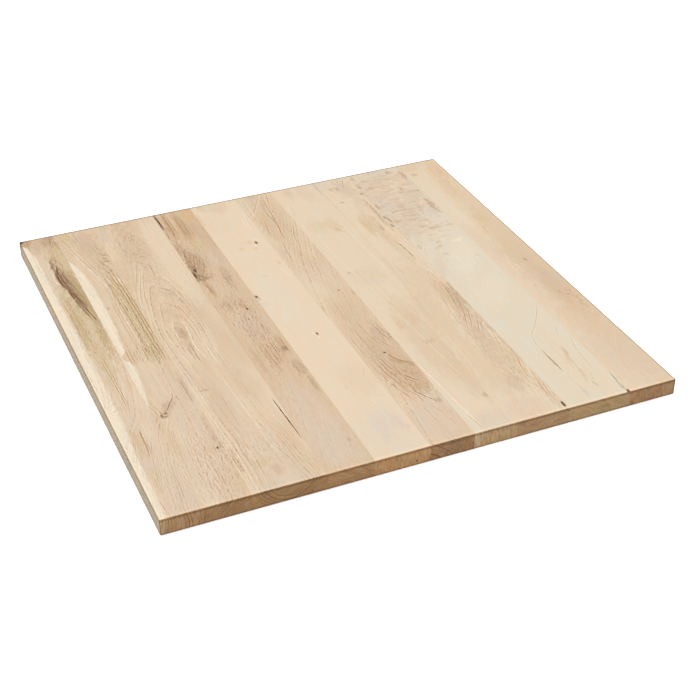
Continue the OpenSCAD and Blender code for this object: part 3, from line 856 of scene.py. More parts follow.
class TABLETOP_PG_timber(bpy.types.PropertyGroup):
    """The oak's tones, as they look in soft light, and its grain."""
    sapwood: bpy.props.FloatVectorProperty(
        name="Sapwood", description="Cream sapwood at the bark side", subtype="COLOR",
        default=(0.578, 0.507, 0.398), min=0, max=1)
    pale: bpy.props.FloatVectorProperty(
        name="Pale", description="Palest heartwood", subtype="COLOR",
        default=(0.523, 0.422, 0.306), min=0, max=1)
    cool: bpy.props.FloatVectorProperty(
        name="Cool", description="Pale greyish wood", subtype="COLOR",
        default=(0.503, 0.442, 0.346), min=0, max=1)
    tan: bpy.props.FloatVectorProperty(
        name="Tan", description="Middle heartwood", subtype="COLOR",
        default=(0.462, 0.346, 0.231), min=0, max=1)
    warm: bpy.props.FloatVectorProperty(
        name="Warm", description="Peach coloured heartwood", subtype="COLOR",
        default=(0.462, 0.326, 0.204), min=0, max=1)
    amber: bpy.props.FloatVectorProperty(
        name="Amber", description="Orange spots", subtype="COLOR",
        default=(0.462, 0.292, 0.15), min=0, max=1)
    pink: bpy.props.FloatVectorProperty(
        name="Pink", description="Pinkish heartwood", subtype="COLOR",
        default=(0.469, 0.367, 0.278), min=0, max=1)
    grey: bpy.props.FloatVectorProperty(
        name="Grey", description="Greyish beige wood", subtype="COLOR",
        default=(0.456, 0.394, 0.319), min=0, max=1)
    lavender: bpy.props.FloatVectorProperty(
        name="Lavender", description="Bluish grey stain", subtype="COLOR",
        default=(0.44, 0.38, 0.336), min=0, max=1)
    brown: bpy.props.FloatVectorProperty(
        name="Brown", description="Brown heartwood", subtype="COLOR",
        default=(0.354, 0.238, 0.142), min=0, max=1)
    clay: bpy.props.FloatVectorProperty(
        name="Clay", description="Soft pinkish brown", subtype="COLOR",
        default=(0.41, 0.299, 0.205), min=0, max=1)
    olive: bpy.props.FloatVectorProperty(
        name="Olive", description="Yellowish tan", subtype="COLOR",
        default=(0.442, 0.346, 0.211), min=0, max=1)
    moss: bpy.props.FloatVectorProperty(
        name="Moss", description="Olive brown wood beside a knot", subtype="COLOR",
        default=(0.34, 0.245, 0.13), min=0, max=1)
    line: bpy.props.FloatVectorProperty(
        name="Line", description="Dark lines in the grain", subtype="COLOR",
        default=(0.184, 0.102, 0.051), min=0, max=1)
    bark: bpy.props.FloatVectorProperty(
        name="Bark", description="Darkest brown, of bark pockets and knots", subtype="COLOR",
        default=(0.041, 0.019, 0.008), min=0, max=1)
    end_grain: bpy.props.FloatVectorProperty(
        name="End Grain", description="What sawn ends multiply the tone by", subtype="COLOR",
        default=(0.77, 0.58, 0.385), min=0, max=1)
    roughness: bpy.props.FloatProperty(
        name="Roughness", description="Of the planed and sanded face", default=0.56, min=0, max=1,
        subtype="FACTOR")
    pore_depth: bpy.props.FloatProperty(
        name="Pore Depth", description="Depth of the open pores", default=0.12 * MM, min=0, max=1 * MM,
        unit="LENGTH", precision=5)


class TABLETOP_PG_panel(bpy.types.PropertyGroup):
    """Sizes that the solids share with the dressed staves."""
    arris: bpy.props.FloatProperty(
        name="Eased Edge", description="Radius of the outside edges", default=2 * MM, min=0.1 * MM,
        max=10 * MM, unit="LENGTH", precision=4)
    arris_steps: bpy.props.IntProperty(
        name="Edge Steps", description="Facets round each eased edge", default=6, min=1, max=16)
    check_depth: bpy.props.FloatProperty(
        name="Check Depth", description="How deep the open check goes", default=6 * MM, min=1 * MM,
        max=12 * MM, unit="LENGTH", precision=4)


class TABLETOP_PG_studio(bpy.types.PropertyGroup):
    """The floor, the light and the camera."""
    floor_size: bpy.props.FloatProperty(
        name="Floor Size", description="Side of the square floor", default=14, unit="LENGTH")
    floor_gap: bpy.props.FloatProperty(
        name="Floor Gap", description="How far the floor is below the panel", default=0.4 * MM,
        unit="LENGTH", precision=5)
    floor_tone: bpy.props.FloatVectorProperty(
        name="Floor Tone", description="Pale floor", subtype="COLOR", default=(0.93, 0.93, 0.93))
    floor_glow: bpy.props.FloatProperty(
        name="Floor Glow", description="Light from the floor itself, as on a light table", default=0.25)
    zenith: bpy.props.FloatProperty(
        name="Overhead Light", description="Brightness of the light from straight above", default=6.1)
    horizon: bpy.props.FloatProperty(
        name="Side Light", description="Brightness of the light from the horizon", default=0.05)
    spread: bpy.props.FloatProperty(
        name="Falloff", description="How fast the light fades from overhead to the sides", default=6.0)
    camera_place: bpy.props.FloatVectorProperty(
        name="Camera Place", description="Where the camera stands", default=(-0.7496, -1.795, 1.2482),
        subtype="XYZ", unit="LENGTH")
    camera_turn: bpy.props.FloatVectorProperty(
        name="Camera Turn", description="How it is turned", subtype="EULER", unit="ROTATION",
        default=(math.radians(56.159), math.radians(0.492), math.radians(-22.913)))
    camera_shift: bpy.props.FloatProperty(
        name="Camera Shift", description="How far the picture's middle is moved sideways", default=27.3 / 696)
    lens: bpy.props.FloatProperty(
        name="Lens", description="Focal length in millimetres", default=73.99)


# Small helpers for the modelling steps.

def deselect_all():
    if bpy.context.object and bpy.context.object.mode != "OBJECT":
        bpy.ops.object.mode_set(mode="OBJECT")
    bpy.ops.object.select_all(action="DESELECT")


def make_active(piece):
    deselect_all()
    piece.select_set(True)
    bpy.context.view_layer.objects.active = piece


def newest(name):
    """The object that the last operator added, under its own name."""
    piece = bpy.context.active_object
    piece.name = piece.data.name = name
    return piece


def settle(piece):
    """Moves the piece's place and size into its mesh."""
    make_active(piece)
    bpy.ops.object.transform_apply(location=True, rotation=True, scale=True)


def select_edges(piece, wanted):
    """Leaves the piece in edit mode with just the edges selected for which wanted(ends) is true."""
    make_active(piece)
    bpy.ops.object.mode_set(mode="EDIT")
    bpy.ops.mesh.select_mode(type="EDGE")
    bpy.ops.mesh.select_all(action="DESELECT")
    bpy.ops.object.mode_set(mode="OBJECT")
    points = piece.data.vertices
    for edge in piece.data.edges:
        edge.select = wanted([points[corner].co for corner in edge.vertices])
    bpy.ops.object.mode_set(mode="EDIT")


def cut_out(piece, cutter):
    """Takes the cutter out of the piece, whose cut walls keep the cutter's material."""
    make_active(piece)
    bpy.ops.object.modifier_add(type="BOOLEAN")
    modifier = piece.modifiers[-1]
    modifier.object = cutter
    modifier.operation = "DIFFERENCE"
    modifier.solver = "EXACT"
    modifier.material_mode = "TRANSFER"
    bpy.ops.object.modifier_apply(modifier=modifier.name)
    bpy.data.objects.remove(cutter)


def smooth_arrises(piece):
    """Shades the eased edges round and the large faces flat."""
    make_active(piece)
    bpy.ops.object.shade_smooth_by_angle(angle=math.radians(35))
    bpy.ops.object.modifier_add(type="WEIGHTED_NORMAL")
    piece.modifiers[-1].keep_sharp = True
    bpy.ops.object.modifier_apply(modifier=piece.modifiers[-1].name)


def on_top(node, across, along):
    """The point on the top face that is so many millimetres across and along a stave."""
    low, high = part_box(node)
    return Vector((low.x + across * MM, PANEL_LOW.y + along * MM, high.z))


def on_outline(ends):
    """True for an edge where two of the panel's outside faces meet."""
    near = 1e-5
    shared = sum(
        all(abs(end[axis] - corner[axis]) < near for end in ends)
        for axis in range(3) for corner in (PANEL_LOW, PANEL_HIGH)
    )
    return shared == 2


# The cutters, one for each kind of opening in the surface.

def add_sliver(node, across, along, width, length, depth, lean, ripple=0.22):
    """A long pointed wedge, widest in its middle and narrow at its foot, for an open check."""
    steps = 36
    above = 0.5 * MM
    top = on_top(node, across, along)
    deselect_all()
    bpy.ops.mesh.primitive_grid_add(x_subdivisions=1, y_subdivisions=steps, size=2)
    cutter = newest("check_cutter")
    for corner in cutter.data.vertices:
        place = corner.co.y
        swing = 1 + ripple * math.sin(11 * place + 40 * corner.co.x) + ripple * math.sin(27 * place) / 2
        corner.co.x *= width / 2 * (1 - place * place) * swing
        corner.co.y *= length / 2
    bpy.ops.object.mode_set(mode="EDIT")
    bpy.ops.mesh.select_all(action="SELECT")
    bpy.ops.mesh.remove_doubles(threshold=0.001 * MM)
    bpy.ops.mesh.extrude_region_move(TRANSFORM_OT_translate={"value": (0, 0, -above - depth)})
    bpy.ops.transform.resize(value=(0.25, 0.96, 1), center_override=(0, 0, 0))
    bpy.ops.mesh.select_all(action="SELECT")
    bpy.ops.transform.rotate(value=-math.radians(lean), orient_axis="Z", center_override=(0, 0, 0))
    bpy.ops.transform.translate(value=(top.x, top.y, top.z + above))
    bpy.ops.mesh.normals_make_consistent(inside=False)
    bpy.ops.object.mode_set(mode="OBJECT")
    return cutter


def add_borehole(node, across, along, width, length, depth):
    """A small round-ended pit that narrows downwards."""
    above = 0.5 * MM
    top = on_top(node, across, along)
    deselect_all()
    bpy.ops.mesh.primitive_cone_add(
        vertices=20, radius1=0.35, radius2=1, depth=1, location=(top.x, top.y, top.z + above - depth / 2))
    cutter = newest("pit_cutter")
    cutter.scale = (width / 2, length / 2, depth + above)
    settle(cutter)
    return cutter


def add_scoop(node, across, along, width, length, depth, seed):
    """A shallow ragged hollow, where splinters have come away."""
    top = on_top(node, across, along)
    deselect_all()
    bpy.ops.mesh.primitive_ico_sphere_add(subdivisions=4, radius=1, location=top)
    cutter = newest("chip_cutter")
    for corner in cutter.data.vertices:
        x, y, z = corner.co
        corner.co *= 1 + 0.10 * math.sin(5 * x + 3 * y + seed) + 0.07 * math.sin(17 * x + 2.3 * seed + 4 * z)
    cutter.scale = (width / 2, length / 2, depth)
    settle(cutter)
    return cutter


# Shader building.

class Wiring:
    """Short ways to add and join the nodes of one shader tree."""

    def __init__(self, tree):
        self.tree = tree
        self.made = 0

    def add(self, kind, *feeds, **settings):
        node = self.tree.nodes.new(kind)
        node.location = (220 * (self.made // 6), -180 * (self.made % 6))
        self.made += 1
        for name, value in settings.items():
            setattr(node, name, value)
        for socket, value in zip(node.inputs, feeds):
            self.feed(socket, value)
        return node

    def feed(self, socket, value):
        if isinstance(value, bpy.types.NodeSocket):
            self.tree.links.new(value, socket)
        elif value is not None:
            socket.default_value = value

    def math(self, operation, *values, clamp=False):
        return self.add("ShaderNodeMath", *values, operation=operation, use_clamp=clamp).outputs[0]

    def vector(self, operation, *values):
        node = self.add("ShaderNodeVectorMath", *values, operation=operation)
        return node.outputs["Value"] if operation == "LENGTH" else node.outputs[0]

    def combine(self, x, y, z):
        return self.add("ShaderNodeCombineXYZ", x, y, z).outputs[0]

    def ramp(self, value, start, stop, low=0.0, high=1.0):
        """A smooth step from low to high as the value goes from start to stop."""
        node = self.add(
            "ShaderNodeMapRange", value, start, stop, low, high, interpolation_type="SMOOTHSTEP")
        return node.outputs[0]

    def noise(self, place, detail=2.0, roughness=0.5):
        return self.add(
            "ShaderNodeTexNoise", place, None, 1.0, detail, roughness, noise_dimensions="3D").outputs[0]

    def mix(self, share, first, second, blend="MIX"):
        node = self.add("ShaderNodeMix", data_type="RGBA", blend_type=blend, clamp_factor=True)
        self.feed(node.inputs["Factor"], share)
        self.feed(node.inputs[6], first)
        self.feed(node.inputs[7], second)
        return node.outputs[2]

    def tint(self, share, tone, factor):
        """The tone multiplied by a colour, as far as the share goes."""
        return self.mix(share, tone, self.mix(1.0, tone, (*factor, 1), "MULTIPLY"))

    def curve(self, value, points):
        """A smooth curve through (value, result) points, held flat before the first and past the last."""
        points = sorted(points)
        if len(points) == 1:
            return points[0][1]
        start, stop = points[0][0], points[-1][0]
        low = min(result for _, result in points)
        high = max(result for _, result in points)
        span = (high - low) or 1.0
        share = self.add("ShaderNodeMapRange", value, start, stop, 0.0, 1.0).outputs[0]
        node = self.add("ShaderNodeFloatCurve", 1.0, share)
        line = node.mapping.curves[0]
        for spot, (place, result) in enumerate(points):
            x, y = (place - start) / (stop - start), (result - low) / span
            if spot == 0:
                line.points[0].location = (x, y)
            elif spot == len(points) - 1:
                line.points[-1].location = (x, y)
            else:
                line.points.new(x, y)
        node.mapping.update()
        return self.math("MULTIPLY_ADD", node.outputs[0], span, low)

    def group(self, tree, **feeds):
        """One copy of a shared group, fed by socket name with _ for a space. Its outputs are returned."""
        node = self.add("ShaderNodeGroup", node_tree=tree)
        for name, value in feeds.items():
            self.feed(node.inputs[name.replace("_", " ")], value)
        return node.outputs


def new_group(name, inputs, outputs):
    """An empty shader group with those sockets: (its wiring, its inputs by name, its output node)."""
    tree = bpy.data.node_groups.new(name, "ShaderNodeTree")
    for socket in inputs:
        kind = "NodeSocketVector" if socket == "Place" else "NodeSocketFloat"
        tree.interface.new_socket(name=socket, in_out="INPUT", socket_type=kind)
    for socket in outputs:
        tree.interface.new_socket(name=socket, in_out="OUTPUT", socket_type="NodeSocketFloat")
    wiring = Wiring(tree)
    given = wiring.add("NodeGroupInput").outputs
    result = wiring.add("NodeGroupOutput")
    return wiring, given, result


def growth_ring_group():
    """Rings round a pith that wanders along the log, cut by the stave's faces."""
    w, given, result = new_group(
        "growth rings",
        ["Place", "Pith Across", "Pith Depth", "Swell", "Ring Width", "Waviness", "Seed", "Sawn End"],
        ["Rings", "Glints", "Earlywood", "Radius", "Angle"],
    )
    place = w.vector("ADD", given["Place"], w.combine(given["Seed"], given["Seed"], given["Seed"]))
    slow = w.noise(w.vector("MULTIPLY", place, (1 / 42, 1 / 210, 1 / 42)), 1.5)
    fine = w.noise(w.vector("MULTIPLY", place, (1 / 6, 1 / 48, 1 / 6)), 1.0)
    wander = w.math("MULTIPLY", w.math("SUBTRACT", slow, 0.5), w.math("MULTIPLY", given["Waviness"], 3.0))
    tremble = w.math("MULTIPLY", w.math("SUBTRACT", fine, 0.5), 1.1)
    spot = w.add("ShaderNodeSeparateXYZ", given["Place"]).outputs
    aside = w.math("SUBTRACT", spot[0], given["Pith Across"])
    below = w.math("SUBTRACT", spot[2], given["Pith Depth"])
    reach = w.vector("LENGTH", w.combine(aside, below, 0.0))
    radius = w.math("ADD", w.math("ADD", reach, given["Swell"]), w.math("ADD", wander, tremble))
    years = w.math("DIVIDE", radius, given["Ring Width"])
    uneven = w.add(
        "ShaderNodeTexNoise", None, w.math("MULTIPLY_ADD", years, 0.31, given["Seed"]), 1.0, 1.0,
        noise_dimensions="1D").outputs[0]
    years = w.math("ADD", years, w.math("MULTIPLY", w.math("SUBTRACT", uneven, 0.5), 2.2))
    season = w.math("FRACT", years)
    year = w.math("FLOOR", years)
    weight = w.add(
        "ShaderNodeTexWhiteNoise", None, w.math("MULTIPLY_ADD", year, 1.37, given["Seed"]),
        noise_dimensions="1D").outputs[0]
    # A face that cuts the rings at a slant would widen their lines, so they are measured in its millimetres
    slope = w.math("MAXIMUM", w.math("DIVIDE", w.math("ABSOLUTE", aside), reach), 0.12)
    slope = w.math("MAXIMUM", slope, given["Sawn End"])
    past = w.math("DIVIDE", w.math("MULTIPLY", season, given["Ring Width"]), slope)
    onset = w.ramp(past, 0.0, 0.3)
    early = w.math("MULTIPLY", onset, w.ramp(past, 0.8, 1.9, 1.0, 0.0))
    late = w.math("MULTIPLY", w.ramp(season, 0.45, 1.0, 0.0, 0.22), w.ramp(season, 0.97, 1.0, 1.0, 0.0))
    line = w.math("MAXIMUM", early, late)
    glint = w.math("MULTIPLY", w.ramp(past, 1.3, 2.1), w.ramp(past, 3.9, 2.7))
    strength = w.math("MULTIPLY_ADD", w.math("POWER", weight, 1.6), 0.85, 0.15)
    w.feed(result.inputs["Rings"], w.math("MULTIPLY", line, strength))
    w.feed(result.inputs["Glints"], w.math("MULTIPLY", glint, strength))
    w.feed(result.inputs["Earlywood"], w.math("MULTIPLY", early, strength))
    w.feed(result.inputs["Radius"], radius)
    w.feed(result.inputs["Angle"], w.math("ARCTAN2", aside, below))
    return w.tree


def grain_group():
    """Fine structure: pores and flecks along the grain, rays across it, fibres, and slow drift."""
    w, given, result = new_group(
        "fine grain", ["Place", "Radius", "Angle", "Earlywood", "Seed"],
        ["Pores", "Dashes", "Rays", "Fibre", "Drift", "Ragged", "Crumbled", "Broken", "Hue",
         "Sunken And Shaded", "Raised Highlight", "Bars", "Bar Shadows", "Specks"],
    )
    place = w.vector("ADD", given["Place"], w.combine(given["Seed"], given["Seed"], given["Seed"]))
    along = w.add("ShaderNodeSeparateXYZ", place).outputs[1]
    pores = w.ramp(w.noise(w.vector("MULTIPLY", place, (1.35, 0.075, 1.35)), 1.0), 0.56, 0.70)
    share = w.math("MULTIPLY_ADD", given["Earlywood"], 0.8, 0.25)
    dashes = w.ramp(w.noise(w.vector("MULTIPLY", place, (0.42, 0.03, 0.42)), 2.0, 0.6), 0.55, 0.72)
    sheet = w.combine(
        w.math("MULTIPLY", given["Angle"], 110.0),
        w.math("MULTIPLY", along, 0.11),
        w.math("MULTIPLY", given["Radius"], 0.045))
    # Flecks are small hollows in rows along the rings, with a raised side: where one noise falls off outwards. In the
    # colour the hollow side gets painted shade and the raised side a painted highlight
    fleck = w.combine(
        w.math("MULTIPLY", given["Radius"], 0.62), w.math("MULTIPLY", along, 0.11),
        w.math("MULTIPLY", given["Angle"], 9.0))
    further = w.vector("ADD", fleck, (0.55, 0.0, 0.0))
    fall = w.math("SUBTRACT", w.noise(fleck, 1.5, 0.6), w.noise(further, 1.5, 0.6))
    stretch = w.combine(
        w.math("MULTIPLY", given["Radius"], 0.4), w.math("MULTIPLY", along, 0.13),
        w.math("MULTIPLY", given["Angle"], 5.0))
    bar = w.vector("MULTIPLY", place, (1 / 20, 1 / 8.5, 1 / 20))
    pale = w.noise(bar, 1.5, 0.55)
    drop = w.math("SUBTRACT", pale, w.noise(w.vector("ADD", bar, (0.0, 0.5, 0.0)), 1.5, 0.55))
    w.feed(result.inputs["Pores"], w.math("MULTIPLY", pores, share))
    w.feed(result.inputs["Dashes"], w.math("MULTIPLY", dashes, w.math("MULTIPLY_ADD", given["Earlywood"], 0.6, 0.4)))
    w.feed(result.inputs["Rays"], w.ramp(w.noise(sheet, 1.0), 0.60, 0.74))
    w.feed(result.inputs["Fibre"], w.noise(w.vector("MULTIPLY", place, (0.75, 0.011, 0.75)), 3.0, 0.62))
    # Where the fibres spiral, soft facets run from the lower left to the upper right
    turned = w.combine(w.math("MULTIPLY_ADD", along, -0.22, w.add("ShaderNodeSeparateXYZ", place).outputs[0]), along, 0.0)
    w.feed(result.inputs["Drift"], w.noise(w.vector("MULTIPLY", place, (1 / 40, 1 / 150, 1 / 40)), 2.0))
    w.feed(result.inputs["Ragged"], w.noise(w.vector("MULTIPLY", place, (1 / 5, 1 / 18, 1 / 5)), 3.0, 0.65))
    w.feed(result.inputs["Crumbled"], w.noise(w.vector("MULTIPLY", place, (1 / 1.8, 1 / 7, 1 / 1.8)), 2.0, 0.6))
    w.feed(result.inputs["Broken"], w.ramp(w.noise(stretch, 2.0, 0.6), 0.38, 0.60))
    w.feed(result.inputs["Hue"], w.noise(w.vector("MULTIPLY", turned, (1 / 12, 1 / 60, 1 / 12)), 3.0, 0.6))
    w.feed(result.inputs["Sunken And Shaded"], w.ramp(fall, 0.03, 0.20))
    w.feed(result.inputs["Raised Highlight"], w.ramp(fall, -0.03, -0.20))
    w.feed(result.inputs["Specks"], w.ramp(
        w.noise(w.vector("MULTIPLY", place, (1 / 2.4, 1 / 4.5, 1 / 2.4)), 2.0, 0.65), 0.56, 0.66))
    w.feed(result.inputs["Bars"], w.ramp(pale, 0.50, 0.64))
    w.feed(result.inputs["Bar Shadows"], w.ramp(drop, 0.0, 0.26))
    return w.tree


def fade_below(w, depth):
    """What the top face shows fades out inside the wood."""
    return w.ramp(depth, 9.0, 24.0, 1.0, 0.0)


def patch_group():
    """A soft oval with a ragged edge."""
    w, given, result = new_group(
        "soft patch",
        ["Place", "Across", "Along", "Half Width", "Half Length", "Lean", "Ragged", "Noise"],
        ["Amount"],
    )
    spot = w.add("ShaderNodeSeparateXYZ", given["Place"]).outputs
    ahead = w.math("SUBTRACT", spot[1], given["Along"])
    aside = w.math("SUBTRACT", w.math("SUBTRACT", spot[0], given["Across"]), w.math("MULTIPLY", given["Lean"], ahead))
    reach = w.vector("LENGTH", w.combine(
        w.math("DIVIDE", aside, given["Half Width"]), w.math("DIVIDE", ahead, given["Half Length"]), 0.0))
    rough = w.math("MULTIPLY", w.math("SUBTRACT", given["Noise"], 0.5), w.math("MULTIPLY", given["Ragged"], 2.4))
    amount = w.ramp(w.math("ADD", reach, rough), 1.15, 0.45)
    w.feed(result.inputs["Amount"], w.math("MULTIPLY", amount, fade_below(w, spot[2])))
    return w.tree


def vein_group():
    """A thin line beside a centre, tapering to nothing at both ends, and a painted highlight on either side of it."""
    w, given, result = new_group(
        "grain vein", ["Place", "Centre", "Half Width", "From", "To", "Ragged", "Noise"], ["Amount", "Rim Highlights"])
    spot = w.add("ShaderNodeSeparateXYZ", given["Place"]).outputs
    middle = w.math("MULTIPLY", w.math("ADD", given["From"], given["To"]), 0.5)
    half = w.math("MULTIPLY", w.math("SUBTRACT", given["To"], given["From"]), 0.5)
    share = w.math("DIVIDE", w.math("SUBTRACT", spot[1], middle), half)
    taper = w.ramp(w.math("ABSOLUTE", share), 0.55, 1.0, 1.0, 0.0)
    width = w.math("MULTIPLY_ADD", given["Half Width"], taper, 0.001)
    off = w.math("DIVIDE", w.math("ABSOLUTE", w.math("SUBTRACT", spot[0], given["Centre"])), width)
    rough = w.math("MULTIPLY", w.math("SUBTRACT", given["Noise"], 0.5), w.math("MULTIPLY", given["Ragged"], 2.4))
    amount = w.ramp(w.math("ADD", off, rough), 1.2, 0.3)
    amount = w.math("MULTIPLY", amount, w.ramp(taper, 0.0, 0.25))
    rim_highlights = w.math("MULTIPLY", w.ramp(off, 1.0, 1.8), w.ramp(off, 3.4, 2.2))
    rim_highlights = w.math("MULTIPLY", rim_highlights, w.ramp(taper, 0.1, 0.6))
    w.feed(result.inputs["Amount"], w.math("MULTIPLY", amount, fade_below(w, spot[2])))
    w.feed(result.inputs["Rim Highlights"], w.math("MULTIPLY", rim_highlights, fade_below(w, spot[2])))
    return w.tree


def swell_group():
    """A smooth bump that shifts the rings."""
    w, given, result = new_group(
        "ring swell", ["Place", "Across", "Along", "Half Width", "Half Length", "Height"], ["Shift"])
    spot = w.add("ShaderNodeSeparateXYZ", given["Place"]).outputs
    aside = w.math("DIVIDE", w.math("SUBTRACT", spot[0], given["Across"]), given["Half Width"])
    ahead = w.math("DIVIDE", w.math("SUBTRACT", spot[1], given["Along"]), given["Half Length"])
    reach = w.math("ADD", w.math("MULTIPLY", aside, aside), w.math("MULTIPLY", ahead, ahead))
    bell = w.math("EXPONENT", w.math("MULTIPLY", reach, -1.0))
    w.feed(result.inputs["Shift"], w.math("MULTIPLY", bell, given["Height"]))
    return w.tree


def colour(settings, tone):
    return (*getattr(settings, tone), 1.0)


def new_material(name):
    material = bpy.data.materials.new(name)
    material.use_nodes = True
    material.node_tree.nodes.clear()
    w = Wiring(material.node_tree)
    shader = w.add("ShaderNodeBsdfPrincipled")
    output = w.add("ShaderNodeOutputMaterial")
    w.feed(output.inputs["Surface"], shader.outputs[0])
    return material, w, shader


def patch_amount(w, groups, place, noise, patch):
    """How far each place lies inside a patch."""
    return w.group(
        groups["patch"], Place=place, Across=patch.across, Along=patch.along,
        Half_Width=patch.half_width, Half_Length=patch.half_length, Lean=patch.lean,
        Ragged=patch.ragged, Noise=noise)[0]


def area_amount(w, groups, place, noise, patches, kind, base=0.0):
    """The base amount, and what the patches of one kind of area add to it."""
    total = base
    for patch in patches:
        if patch.tone == kind:
            total = w.math("MULTIPLY_ADD", patch_amount(w, groups, place, noise, patch), patch.strength, total)
    return total


def paint_patches(w, groups, place, noise, patches, tone, settings):
    """The tone with every patch that has a tone of its own laid over it."""
    for patch in patches:
        if patch.tone not in AREAS:
            amount = w.math("MULTIPLY", patch_amount(w, groups, place, noise, patch), patch.strength)
            tone = w.mix(amount, tone, colour(settings, patch.tone))
    return tone


def oak(node, figure, groups, settings):
    """The timber of one stave, solid right through, from its figure."""
    material, w, shader = new_material("oak_" + node)
    low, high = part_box(node)
    seed = 17.0 * (1 + STAVES.index(node))
    where = w.add("ShaderNodeTexCoord").outputs
    # Millimetres across from the left seam, along from the front edge and down from the top face
    place = w.vector("MULTIPLY", w.vector("SUBTRACT", where["Object"], (low.x, PANEL_LOW.y, high.z)),
                     (1 / MM, 1 / MM, -1 / MM))
    spot = w.add("ShaderNodeSeparateXYZ", place).outputs
    facing = w.add("ShaderNodeSeparateXYZ", w.vector("ABSOLUTE", where["Normal"])).outputs
    sawn_end = w.ramp(facing[1], 0.30, 0.66)

    shift = 0.0
    for swell in figure.swells:
        bump = w.group(groups["swell"], Place=place, Across=swell.across, Along=swell.along,
                       Half_Width=swell.half_width, Half_Length=swell.half_length, Height=swell.height)[0]
        shift = w.math("ADD", shift, bump)
    rings = w.group(
        groups["rings"], Place=place, Swell=shift, Ring_Width=figure.ring_width, Waviness=figure.waviness,
        Pith_Across=w.curve(spot[1], figure.pith_across), Pith_Depth=w.curve(spot[1], figure.pith_depth),
        Seed=seed, Sawn_End=sawn_end)
    grain = w.group(groups["grain"], Place=place, Radius=rings["Radius"], Angle=rings["Angle"],
                    Earlywood=rings["Earlywood"], Seed=seed)
    shared = (w, groups, place, grain["Ragged"], figure.patches)
    lively = area_amount(*shared, "flecks", figure.flecks)
    barred = area_amount(*shared, "bars")
    specked = area_amount(*shared, "specks")
    calm = area_amount(*shared, "calm")
    lively = w.math("MULTIPLY", lively, w.math("SUBTRACT", 1.0, calm, clamp=True))
    plain = w.math("MULTIPLY_ADD", calm, -0.6, 1.0, clamp=True)
    season = w.math("MULTIPLY_ADD", rings["Earlywood"], 0.6, 0.4)
    stronger = w.math("MULTIPLY_ADD", sawn_end, 0.5, 1.0)

    drift = w.ramp(grain["Drift"], 0.30, 0.70, 0.10, 0.90)
    tone = w.mix(drift, colour(settings, figure.pale), colour(settings, figure.tan))
    tone = paint_patches(*shared, tone, settings)
    if figure.sapwood:
        edge = w.math("SUBTRACT", spot[0], w.curve(spot[1], figure.sapwood))
        edge = w.math("MULTIPLY_ADD", w.math("SUBTRACT", grain["Ragged"], 0.5), 7.0, edge)
        edge = w.math("MULTIPLY_ADD", w.math("SUBTRACT", grain["Crumbled"], 0.5), 5.0, edge)
        clear = w.math("MULTIPLY", w.ramp(edge, 2.0, -3.0), w.ramp(grain["Hue"], 0.35, 0.65, 1.0, 0.82))
        tone = w.mix(clear, tone, colour(settings, "sapwood"))

    hue = w.ramp(grain["Hue"], 0.30, 0.70)
    tone = w.mix(1.0, tone, w.mix(hue, (1.02, 0.975, 0.935, 1), (0.975, 1.005, 1.02, 1)), "MULTIPLY")
    streak = w.math("MULTIPLY_ADD", w.math("SUBTRACT", grain["Fibre"], 0.5), figure.fibre, 1.0)
    tone = w.mix(1.0, tone, w.combine(streak, streak, streak), "MULTIPLY")
    ring_share = w.math("MULTIPLY", w.math("MULTIPLY", rings["Rings"], figure.rings), stronger)
    ring_share = w.math("MULTIPLY", ring_share, w.math(
        "MAXIMUM", w.math("MULTIPLY", grain["Broken"], plain), sawn_end))
    tone = w.tint(ring_share, tone, (0.50, 0.40, 0.31))
    glint_share = w.math("MULTIPLY", w.math("MULTIPLY", rings["Glints"], grain["Broken"]), plain)
    glint_share = w.math("MULTIPLY", glint_share, figure.rings)
    tone = w.tint(glint_share, tone, (1.24, 1.24, 1.22))
    tone = w.tint(w.math("MULTIPLY", grain["Dashes"], 0.4 * figure.pores), tone, (0.66, 0.55, 0.44))
    pore_share = w.math("MULTIPLY", grain["Pores"], w.math("MULTIPLY", stronger, 0.6 * figure.pores))
    tone = w.tint(pore_share, tone, (0.52, 0.41, 0.31))
    tone = w.tint(w.math("MULTIPLY", grain["Rays"], figure.rays * 0.6), tone, (1.12, 1.10, 1.06))
    fleck = w.math("MULTIPLY", lively, season)
    # Painted shade on the hollow side of each fleck and a painted highlight on its raised side; the hollows also go
    # into the bump below
    tone = w.tint(w.math("MULTIPLY", grain["Sunken And Shaded"], fleck), tone, (0.60, 0.51, 0.42))
    tone = w.tint(w.math("MULTIPLY", grain["Raised Highlight"], fleck), tone, (1.16, 1.16, 1.14))
    if barred:
        tone = w.tint(w.math("MULTIPLY", grain["Bars"], barred), tone, (1.10, 1.10, 1.10))
        tone = w.tint(w.math("MULTIPLY", grain["Bar Shadows"], barred), tone, (0.84, 0.79, 0.73))
    if specked:
        tone = w.tint(w.math("MULTIPLY", grain["Specks"], specked), tone, (0.68, 0.60, 0.52))

    frayed = w.math("MULTIPLY_ADD", grain["Ragged"], 0.45, w.math("MULTIPLY", grain["Crumbled"], 0.55))
    gaps = w.ramp(grain["Ragged"], 0.40, 0.56, 0.45, 1.25)
    for vein in figure.veins:
        path = sorted(vein.path)
        drawn = w.group(
            groups["vein"], Place=place, Centre=w.curve(spot[1], path), Half_Width=vein.half_width,
            From=path[0][0], To=path[-1][0], Ragged=vein.ragged * 1.5, Noise=frayed)
        share = w.math("MULTIPLY", gaps, vein.strength)
        if vein.tone in ("line", "bark"):
